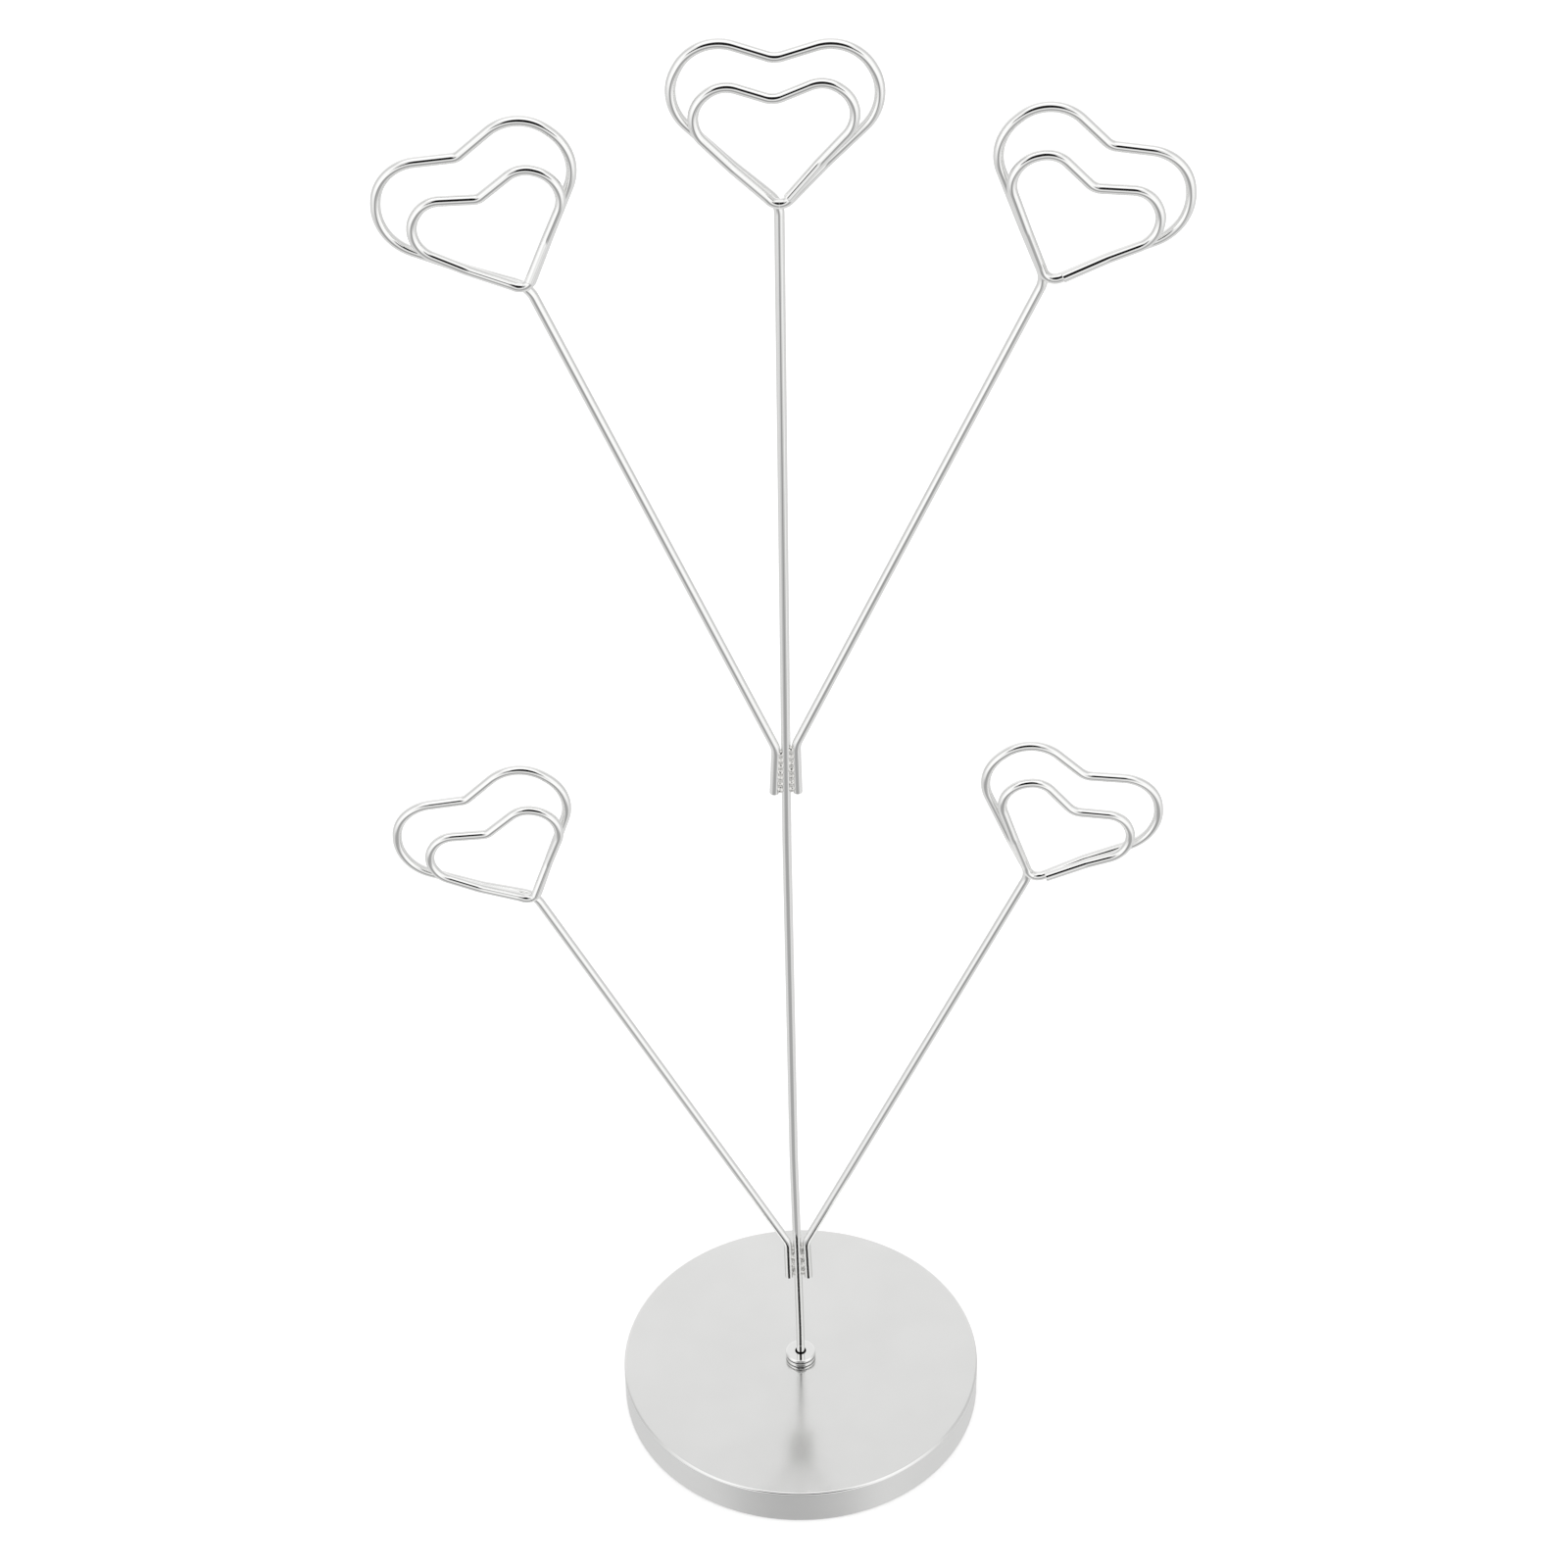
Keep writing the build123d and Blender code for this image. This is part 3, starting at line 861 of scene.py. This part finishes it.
@dataclass
class WireTree:
    """The stem, the four arms and the front loops of the five clips."""

    wire_diameter: float = 1.85
    stem_foot: float = 2.05
    stem_points: tuple[tuple[float, float], ...] = ((0.0, 19.0), (-0.87, 72.0), (-1.2, 160.0), (-0.71, 301.3))
    stem_bow_radius: float = 500.0
    joint_heights: dict[str, float] = field(default_factory=lambda: {"upper": 183.37, "lower": 46.18})
    joint_stagger: float = 0.47
    joint_staggers: dict[str, float] = field(default_factory=lambda: {"upper": 1.0, "lower": 0.17})
    tail_length: float = 11.0
    tail_lengths: Hands = hands(0.0, 1.0, 1.07, 0.985, 1.005)
    tail_gap: float = 0.17
    tail_gaps: Hands = hands(0.0, 0.18, 1.0, 1.0, 1.18)
    tail_toe_out: float = 0.5
    tail_toe_outs: Hands = hands(0.0, 1.0, 0.5, 0.0, 0.4)
    elbow_radius: float = 5.0
    end_rounding: float = 0.12
    arm_length: float = 112.0
    arm_lengths: Hands = hands(0.0, 0.9895, 0.9936, 0.9988, 1.0151)
    arm_leans: Hands = hands(0.0, -22.2, 23.74, -26.3, 23.72)

    def stem_line(self) -> list[Vector]:
        """Points of the stem's middle line, from its foot to the top clip."""
        return [Vector((0, 0, self.stem_foot))] + [Vector((x, 0, z)) for x, z in self.stem_points]

    def stem_at(self, height: float) -> Vector:
        """Where the stem's middle line is at a height, in millimetres."""
        line = self.stem_line()
        for low, high in zip(line, line[1:]):
            if low.z <= height <= high.z:
                return low.lerp(high, (height - low.z) / (high.z - low.z))
        return line[-1]

    def arm_line(self, clip: Clip) -> list[Vector]:
        """Foot, elbow and far end of an arm's middle line."""
        name = clip.value
        joint = name.split("_")[0]
        side = -1 if name.endswith("left") else 1
        height = self.joint_heights[joint] + side * self.joint_stagger * self.joint_staggers[joint]
        offset = self.wire_diameter + self.tail_gap * self.tail_gaps[name]
        foot_offset = offset + self.tail_toe_out * self.tail_toe_outs[name]
        low = height - self.tail_length * self.tail_lengths[name]
        elbow = self.stem_at(height) + Vector((side * offset, 0, 0))
        foot = self.stem_at(low) + Vector((side * foot_offset, 0, 0))
        lean = radians(self.arm_leans[name])
        reach = self.arm_length * self.arm_lengths[name]
        return [foot, elbow, elbow + Vector((sin(lean), 0, cos(lean))) * reach]

    def build(self, finishes: dict[str, bpy.types.Material]) -> None:
        """Make every wire of the tree in place of its solid.

        Args:
            finishes: the built materials by the names of the Finishes fields.
        """
        for clip in Clip:
            line = self.arm_line(clip) if clip.on_arm else self.stem_line()
            radii = [self.elbow_radius] if clip.on_arm else [self.stem_bow_radius] * 3
            shape = ClipShape(clip, line[-1])
            node = f"{clip.value}_arm" if clip.on_arm else "stem_wire"
            rear = WireTube(shape.rear_line(line, radii), round_start=self.end_rounding, round_end=0.0)
            piece = new_piece(f"{node}_skin", rear.build(), finishes["wire"], "tree")
            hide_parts(node)
            front = WireTube(shape.front_line(), round_start=0.0, round_end=self.end_rounding)
            loop = new_piece(f"{clip.value}_clip_loop_skin", front.build(), finishes["wire"], f"{clip.value}_front")
            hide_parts(f"{clip.value}_clip_loop")


@dataclass
class BrazedJoints:
    """The braze between each arm's tail and the stem: a smooth web at the upper joint, beads at the lower."""

    tree: WireTree
    bead_radius: float = 0.86
    bead_shares: dict[str, tuple[float, ...]] = field(default_factory=lambda: {
        "upper": (0.97, 1.0, 0.98, 1.02, 0.98, 1.0, 0.97), "lower": (0.8, 1.04, 1.02, 0.55)})
    bead_scales: dict[str, tuple[float, float, float]] = field(default_factory=lambda: {
        "upper": (1.0, 1.0, 1.0), "lower": (1.0, 0.74, 1.3)})
    bead_margins: dict[str, tuple[float, float]] = field(default_factory=lambda: {
        "upper": (1.1, 1.1), "lower": (1.5, 2.2)})
    bead_forward: float = 0.2
    end_margin: float = 1.1
    bead_spread: tuple[float, float] = (0.94, 1.0)
    seam_count: int = 7
    seam_overlap: float = 1.1
    seam_radius: float = 0.6
    seam_shares: dict[str, float] = field(default_factory=lambda: {"upper": 1.35, "lower": 0.9})
    voxel: float = 0.09
    melts: dict[str, int] = field(default_factory=lambda: {"upper": 14, "lower": 2})
    lumps: dict[str, float] = field(default_factory=lambda: {"upper": 0.05, "lower": 0.13})
    lump_pitch: float = 0.7

    def build(self, finishes: dict[str, bpy.types.Material]) -> None:
        """Make the four brazed joints in place of their solids."""
        for clip in Clip:
            if clip.on_arm:
                self.joint(clip, finishes["braze"])

    def joint(self, clip: Clip, material: bpy.types.Material) -> None:
        """Make one joint: beads and a seam melted together, with an uneven skin.

        Args:
            clip: the clip whose arm the joint holds.
            material: the braze's finish.
        """
        random.seed(clip.value)
        bm = bmesh.new()
        joint = clip.value.split("_")[0]
        foot, elbow, _ = self.tree.arm_line(clip)
        shares = self.bead_shares[joint]
        low, high = self.bead_margins[joint]
        shape = Matrix.Diagonal((*self.bead_scales[joint], 1.0))
        for i, share in enumerate(shares):
            height = foot.z + low + (elbow.z - high - foot.z - low) * i / (len(shares) - 1)
            middle = self.between(foot, elbow, height) + Vector((0, -self.bead_forward, 0))
            radius = self.bead_radius * share * random.uniform(*self.bead_spread)
            bmesh.ops.create_icosphere(bm, subdivisions=3, radius=radius * MM,
                                       matrix=Matrix.Translation(middle * MM) @ shape)
        seam = self.seam_radius * self.seam_shares[joint] * MM
        pitch = (elbow.z - foot.z - 2 * self.end_margin) / self.seam_count
        for i in range(self.seam_count):
            middle = self.between(foot, elbow, foot.z + self.end_margin + pitch * (i + 0.5))
            bmesh.ops.create_cone(bm, cap_ends=True, segments=20, radius1=seam, radius2=seam,
                                  depth=pitch * self.seam_overlap * MM, matrix=Matrix.Translation(middle * MM))
        piece = new_piece(f"{clip.value}_weld_skin", bm, material, "tree")
        remesh = piece.modifiers.new("melt", "REMESH")
        remesh.mode = "VOXEL"
        remesh.voxel_size = self.voxel * MM
        self.apply(piece)
        self.roughen(piece, self.melts[joint], self.lumps[joint])
        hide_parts(f"{clip.value}_weld")

    def between(self, foot: Vector, elbow: Vector, height: float) -> Vector:
        """Point half way between an arm's tail and the stem, at a height in millimetres."""
        return (foot.lerp(elbow, (height - foot.z) / (elbow.z - foot.z)) + self.tree.stem_at(height)) / 2

    def apply(self, piece: bpy.types.Object) -> None:
        """Turn the piece's modifiers into its mesh."""
        graph = bpy.context.evaluated_depsgraph_get()
        melted = bpy.data.meshes.new_from_object(piece.evaluated_get(graph))
        melted.name = piece.name
        piece.modifiers.clear()
        piece.data = melted

    def roughen(self, piece: bpy.types.Object, melt: int, lump: float) -> None:
        """Smooth the melted beads and push their skin in and out a little.

        Args:
            piece: the joint's piece.
            melt: how many times the skin is smoothed.
            lump: how far it is pushed, in millimetres.
        """
        bm = bmesh.new()
        bm.from_mesh(piece.data)
        for _ in range(melt):
            bmesh.ops.smooth_vert(bm, verts=bm.verts, factor=0.5, use_axis_x=True, use_axis_y=True, use_axis_z=True)
        bm.normal_update()
        for vert in bm.verts:
            swell = noise.fractal(vert.co / (self.lump_pitch * MM), 0.6, 2.0, 3)
            vert.co += vert.normal * (swell * lump * MM)
        for face in bm.faces:
            face.smooth = True
        bm.to_mesh(piece.data)
        bm.free()


@dataclass
class RoundPart:
    """A turned or pressed part, spun from a half profile about the base's axis."""

    name: str
    node: str
    body: str
    slot: str
    profile: list[tuple[float, float]]
    steps: int = 192
    guard_reach: float = 0.06
    long_run: float = 0.4
    sharp_degrees: float = 32.0

    def build(self, material: bpy.types.Material) -> bpy.types.Object:
        """Spin the profile and keep the corners that turn sharply as sharp edges.

        Args:
            material: the part's finish.

        Returns:
            The piece that stands for the node.
        """
        bm = bmesh.new()
        profile = guarded([Vector(spot) for spot in self.profile], self.guard_reach, self.long_run)
        verts = [bm.verts.new((spot.x * MM, 0, spot.y * MM)) for spot in profile]
        closed = verts[0].co.x > 0
        ends = zip(verts, verts[1:] + ([verts[0]] if closed else []))
        edges = [bm.edges.new(pair) for pair in ends]
        bmesh.ops.spin(bm, geom=verts + edges, cent=(0, 0, 0), axis=(0, 0, 1), angle=2 * pi, steps=self.steps,
                       use_merge=True, use_duplicate=False)
        bmesh.ops.remove_doubles(bm, verts=bm.verts, dist=0.000001)
        bmesh.ops.recalc_face_normals(bm, faces=bm.faces)
        for edge in bm.edges:
            if len(edge.link_faces) == 2 and edge.calc_face_angle(0.0) > radians(self.sharp_degrees):
                edge.smooth = False
        piece = new_piece(self.name, bm, material, self.body)
        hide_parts(self.node)
        return piece


def rounded_corner(centre: tuple[float, float], radius: float, start: float, end: float,
                   count: int = 10) -> list[tuple[float, float]]:
    """Points of a rounded corner of a half profile.

    Args:
        centre: the arc's centre, as radius and height.
        radius: the arc's radius.
        start: its first angle in degrees, from the radius axis.
        end: its last angle.
        count: how many steps it has.

    Returns:
        The arc's points.
    """
    angles = [radians(start + (end - start) * k / count) for k in range(count + 1)]
    return [(centre[0] + radius * cos(a), centre[1] + radius * sin(a)) for a in angles]


@dataclass
class Base:
    """The round base: pressed shell, collar, pad and what is hidden inside."""

    radius: float = 40.0
    height: float = 9.0
    edge_radius: float = 0.5
    wall: float = 0.8
    rim_lift: float = 0.4
    rim_radius: float = 0.2
    hole_radius: float = 2.0
    collar_radius: float = 3.4
    collar_height: float = 2.0
    collar_edge: float = 0.35
    groove_height: float = 1.1
    groove_radius: float = 0.18
    ring_drop: float = 0.24
    ring_fullness: float = 0.6
    ring_steps: int = 24
    bore_radius: float = 0.975
    mouth: float = 0.25
    mouth_depth: float = 0.7
    pocket_roof: float = 5.0
    pad_thickness: float = 1.2
    pad_gap: float = 0.4
    pad_foot_radius: float = 0.25
    pad_top_radius: float = 0.15

    def build(self, finishes: dict[str, bpy.types.Material]) -> None:
        """Make the shown parts of the base and dress the hidden solids.

        Args:
            finishes: the built materials by the names of the Finishes fields.
        """
        self.shell().build(finishes["shell"])
        self.collar().build(finishes["collar"])
        self.pad().build(finishes["pad"])
        for node, name in (("base_weight", "weight"), ("stem_washer", "washer"), ("retaining_cap", "cap")):
            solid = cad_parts[node]
            solid.data.materials.clear()
            solid.data.materials.append(finishes[name])
            log.info("%s: dressed as %s", node, finishes[name].name)

    def shell(self) -> RoundPart:
        """Pressed cup with a fine rounded top edge and a smoothed rim."""
        inner = self.radius - self.wall
        profile = [(self.hole_radius, self.height)]
        profile += [(self.radius * share, self.height) for share in (0.25, 0.5, 0.75, 0.95)]
        profile += rounded_corner((self.radius - self.edge_radius, self.height - self.edge_radius),
                                  self.edge_radius, 90, 0, 14)
        profile += [(self.radius, self.height * 0.5)]
        profile += rounded_corner((self.radius - self.rim_radius, self.rim_lift + self.rim_radius),
                                  self.rim_radius, 0, -90, 5)
        profile += [(inner, self.rim_lift), (inner, self.height - self.wall),
                    (self.hole_radius, self.height - self.wall)]
        return RoundPart("base_shell_skin", "base_shell", "base", "satin_shell", profile, steps=256)

    def collar(self) -> RoundPart:
        """Turned bush: rounded flange with a groove, counterbored mouth, shank down into the weight."""
        top = self.height + self.collar_height
        edge = self.collar_radius
        mouth = self.bore_radius + self.mouth
        profile = [(self.bore_radius, self.pocket_roof), (self.hole_radius, self.pocket_roof),
                   (self.hole_radius, self.height)]
        groove = self.height + self.groove_height
        profile += self.ring(edge, self.height, groove - self.groove_radius)
        profile += self.ring(edge, groove + self.groove_radius, top)[:self.ring_steps // 2 + 1]
        profile += rounded_corner((edge - self.collar_edge, top - self.collar_edge), self.collar_edge, 0, 90, 12)
        profile += [(mouth, top), (mouth, top - self.mouth_depth), (self.bore_radius, top - self.mouth_depth)]
        return RoundPart("stem_collar_skin", "stem_collar", "base", "collar", profile, steps=96)

    def ring(self, edge: float, low: float, high: float) -> list[tuple[float, float]]:
        """Half profile of one rounded ring of the collar.

        Args:
            edge: the ring's largest radius.
            low: height of its foot.
            high: height of its top.

        Returns:
            The profile's points, from the foot to the top.
        """
        middle, half = (low + high) / 2, (high - low) / 2
        angles = [radians(-90 + 180 * k / self.ring_steps) for k in range(self.ring_steps + 1)]
        drops = [self.ring_drop * (1 - max(0.0, cos(a)) ** self.ring_fullness) for a in angles]
        return [(edge - drop, middle + half * sin(a)) for a, drop in zip(angles, drops)]

    def pad(self) -> RoundPart:
        """Soft disc with slightly rounded edges."""
        outer = self.radius - self.wall - self.pad_gap
        profile = [(0.0, 0.0), (outer * 0.5, 0.0)]
        foot, top = self.pad_foot_radius, self.pad_top_radius
        profile += rounded_corner((outer - foot, foot), foot, -90, 0, 6)
        profile += rounded_corner((outer - top, self.pad_thickness - top), top, 0, 90, 4)
        profile += [(outer * 0.5, self.pad_thickness), (0.0, self.pad_thickness)]
        return RoundPart("base_pad_skin", "base_pad", "base", "pad", profile, steps=160)


@dataclass(frozen=True)
class Zone:
    """Oval zone of the light tent, in degrees: azimuth to the right of the way towards the viewer."""

    azimuth: float
    elevation: float
    half_width: float
    half_height: float
    softness: float
    level: float
    least_ahead: float = 0.02

    def share(self, tree: bpy.types.NodeTree, way: Any) -> Any:
        """Add the nodes that tell how far a direction is in the zone.

        Args:
            tree: the world's node tree.
            way: output socket with the direction.

        Returns:
            The output socket of the share, 1 inside and 0 outside.
        """
        a, e = radians(self.azimuth), radians(self.elevation)
        centre = Vector((sin(a) * cos(e), -cos(a) * cos(e), sin(e)))
        right = Vector((cos(a), sin(a), 0))
        up = right.cross(centre)
        up = up if up.z > 0 else -up
        ahead, aside, above = (calculate(tree, "DOT_PRODUCT", way, axis, kind="VectorMath")
                               for axis in (centre, right, up))
        ahead = calculate(tree, "MAXIMUM", ahead, self.least_ahead)
        squares = []
        for dot, half in ((aside, self.half_width), (above, self.half_height)):
            slope = calculate(tree, "DIVIDE", dot, ahead)
            share = calculate(tree, "DIVIDE", slope, tan(radians(half)))
            squares.append(calculate(tree, "POWER", share, 2.0))
        root = calculate(tree, "SQRT", calculate(tree, "ADD", *squares))
        return remap(tree, root, 1.0 + self.softness, 1.0 - self.softness, smooth=True)


@dataclass
class PhotoCamera:
    """The camera at the photograph's viewing angle."""

    turn: float = 0.233
    elevation: float = 38.033
    roll: float = -0.973
    distance: float = 648.02
    focal_pixels: float = 3368.59
    image_pixels: float = 1600.0
    sensor: float = 36.0
    target: tuple[float, float, float] = (-1.588, 0.0, 174.067)

    def placing(self, behind: float = 0.0) -> Matrix:
        """Place and turn of the camera.

        Args:
            behind: how far behind the camera the place is, in millimetres.

        Returns:
            The matrix in the scene's metres.
        """
        turn, rise, roll = radians(self.turn), radians(self.elevation), radians(self.roll)
        back = Vector((sin(turn) * cos(rise), -cos(turn) * cos(rise), sin(rise)))
        right = Vector((cos(turn), sin(turn), 0))
        up = back.cross(right)
        side = right * cos(roll) + up * sin(roll)
        top = up * cos(roll) - right * sin(roll)
        place = (Vector(self.target) + back * (self.distance + behind)) * MM
        return Matrix.Translation(place) @ Matrix((side, top, back)).transposed().to_4x4()

    def build(self) -> None:
        """Make the camera and make it the scene's."""
        data = bpy.data.cameras.new("photo_camera")
        data.sensor_width = self.sensor
        data.sensor_fit = "HORIZONTAL"
        data.lens = self.focal_pixels * self.sensor / self.image_pixels
        data.clip_start = 0.01
        data.clip_end = 50.0
        camera = bpy.data.objects.new("photo_camera", data)
        bpy.context.scene.collection.objects.link(camera)
        camera.matrix_world = self.placing()
        bpy.context.scene.camera = camera


@dataclass
class Studio:
    """Pale floor and soft even light, with the dark gap in the tent where the camera looks in."""

    camera: PhotoCamera
    floor_reach: tuple[float, float] = (4000.0, 4000.0)
    floor_colour: str = "F8F8F8"
    floor_lift: float = 0.3
    front_wall_level: float = 1.14
    back_wall_level: float = 0.67
    table_level: float = 0.76
    side_blend: tuple[float, float] = (0.3, -0.7)
    table_blend: tuple[float, float] = (-0.15, -0.65)
    zones: tuple[Zone, ...] = (
        # The table in front, and its darker middle
        Zone(-4.0, -46.0, 37.0, 11.0, 0.5, 0.42), Zone(-7.0, -30.0, 17.0, 10.0, 0.4, 0.36),
        # The back wall's pale middle
        Zone(-174.0, 15.0, 50.0, 37.0, 0.5, 0.95),
        # The grey round the gap, and the strip light to the right of it
        Zone(0.0, 30.0, 33.0, 40.0, 0.45, 0.64), Zone(48.6, 0.0, 10.8, 40.0, 0.5, 1.09),
        # The ceiling, and the pale wall under the gap
        Zone(0.0, 84.0, 40.0, 32.0, 0.3, 1.2), Zone(-1.0, -3.0, 16.0, 13.0, 0.5, 0.86))
    gap_ovals: tuple[tuple[float, float, float, float], ...] = (
        (0.0, 40.0, 290.0, 290.0), (0.0, -150.0, 430.0, 120.0))
    gap_reach: tuple[float, float] = (520.0, 370.0)
    gap_softness: float = 0.14
    gap_level: float = 0.01
    gap_behind: float = 25.0

    def build(self) -> None:
        """Make the floor, the gap and the world."""
        self.floor()
        self.gap()
        self.world()

    def card(self, name: str, reach: tuple[float, float], material: bpy.types.Material) -> bpy.types.Object:
        """Make a flat card.

        Args:
            name: the card's name.
            reach: half its width and half its height, in millimetres.
            material: what it shows.

        Returns:
            The card, flat on the table.
        """
        bm = bmesh.new()
        bmesh.ops.create_grid(bm, x_segments=1, y_segments=1, size=1.0)
        bmesh.ops.scale(bm, vec=(reach[0] * MM, reach[1] * MM, 1.0), verts=bm.verts)
        mesh = bpy.data.meshes.new(name)
        bm.to_mesh(mesh)
        bm.free()
        mesh.materials.append(material)
        card = bpy.data.objects.new(name, mesh)
        bpy.context.scene.collection.objects.link(card)
        return card

    def floor(self) -> None:
        """Lay a white floor that keeps the stand's soft shadow."""
        material, tree = empty_material("White card floor")
        paper = add_node(tree, "BsdfDiffuse", {"Color": linear(self.floor_colour)})
        lift = calculate(tree, "MULTIPLY", self.seen(tree), self.floor_lift)
        glow = add_node(tree, "Emission", {"Color": linear("FFFFFF"), "Strength": lift})
        both = add_node(tree, "AddShader", {0: paper.outputs[0], 1: glow.outputs[0]})
        add_node(tree, "OutputMaterial", {"Surface": both.outputs[0]})
        floor = self.card("floor", self.floor_reach, material)
        floor.visible_glossy = False

    def gap(self) -> None:
        """Hang the dark gap behind the camera, which only mirroring surfaces show."""
        material, tree = empty_material("Tent gap")
        place = add_node(tree, "TexCoord").outputs["Object"]
        share = calculate(tree, "MAXIMUM", *(self.oval(tree, place, *oval) for oval in self.gap_ovals))
        clear = add_node(tree, "BsdfTransparent")
        dark = add_node(tree, "Emission", {"Strength": self.gap_level})
        both = add_node(tree, "MixShader", {0: share, 1: clear.outputs[0], 2: dark.outputs[0]})
        add_node(tree, "OutputMaterial", {"Surface": both.outputs[0]})
        card = self.card("tent_gap", self.gap_reach, material)
        card.matrix_world = self.camera.placing(self.gap_behind)
        card.visible_camera = False
        card.visible_diffuse = False
        card.visible_shadow = False

    def oval(self, tree: bpy.types.NodeTree, place: Any, x: float, y: float, wide: float, high: float) -> Any:
        """Add the nodes that tell how far a place is in one soft oval of the gap.

        Args:
            tree: the gap's node tree.
            place: output socket with the place on the card, in metres.
            x: the oval's centre to the right, in millimetres.
            y: its centre upwards.
            wide: half its width.
            high: half its height.

        Returns:
            The output socket of the share, 1 inside and 0 outside.
        """
        moved = calculate(tree, "SUBTRACT", place, (x * MM, y * MM, 0.0), kind="VectorMath")
        shape = calculate(tree, "DIVIDE", moved, (wide * MM, high * MM, 1.0), kind="VectorMath")
        spread = calculate(tree, "LENGTH", shape, kind="VectorMath")
        return remap(tree, spread, 1.0 + self.gap_softness, 1.0 - self.gap_softness, smooth=True)

    def world(self) -> None:
        """Light tent: bright walls in front, greyer ones behind, the table, and the zones, the last on top."""
        world = bpy.data.worlds.new("light_tent")
        bpy.context.scene.world = world
        world.use_nodes = True
        tree = world.node_tree
        tree.nodes.clear()
        way = add_node(tree, "TexCoord").outputs["Generated"]
        split = add_node(tree, "SeparateXYZ", {0: way})
        ahead = remap(tree, split.outputs["Y"], *self.side_blend, smooth=True)
        low = remap(tree, split.outputs["Z"], *self.table_blend, smooth=True)
        level = blend(tree, ahead, self.back_wall_level, self.front_wall_level)
        level = blend(tree, low, level, self.table_level)
        for zone in self.zones:
            level = blend(tree, zone.share(tree, way), level, zone.level)
        # Glossy rays keep the tent, which is as pale as the background and whose shades the metal shows
        level = blend(tree, self.seen(tree), level, 1.0)
        light = add_node(tree, "Background", {"Color": linear("FFFFFF"), "Strength": level})
        add_node(tree, "OutputWorld", {"Surface": light.outputs[0]})

    def seen(self, tree: bpy.types.NodeTree) -> Any:
        """Output socket that is 1 for rays that see the background, straight or through something clear."""
        path = add_node(tree, "LightPath")
        return calculate(tree, "MAXIMUM", path.outputs["Is Camera Ray"], path.outputs["Is Transmission Ray"])


def main() -> None:
    """Build the stand's pieces, the studio and the camera."""
    bpy.context.scene.view_settings.view_transform = "Standard"
    looks = Finishes()
    finishes = {name: getattr(looks, name).build() for name in Finishes.__dataclass_fields__}
    tree = WireTree()
    tree.build(finishes)
    BrazedJoints(tree).build(finishes)
    Base().build(finishes)
    camera = PhotoCamera()
    Studio(camera).build()
    camera.build()


if __name__ == "__main__":
    main()
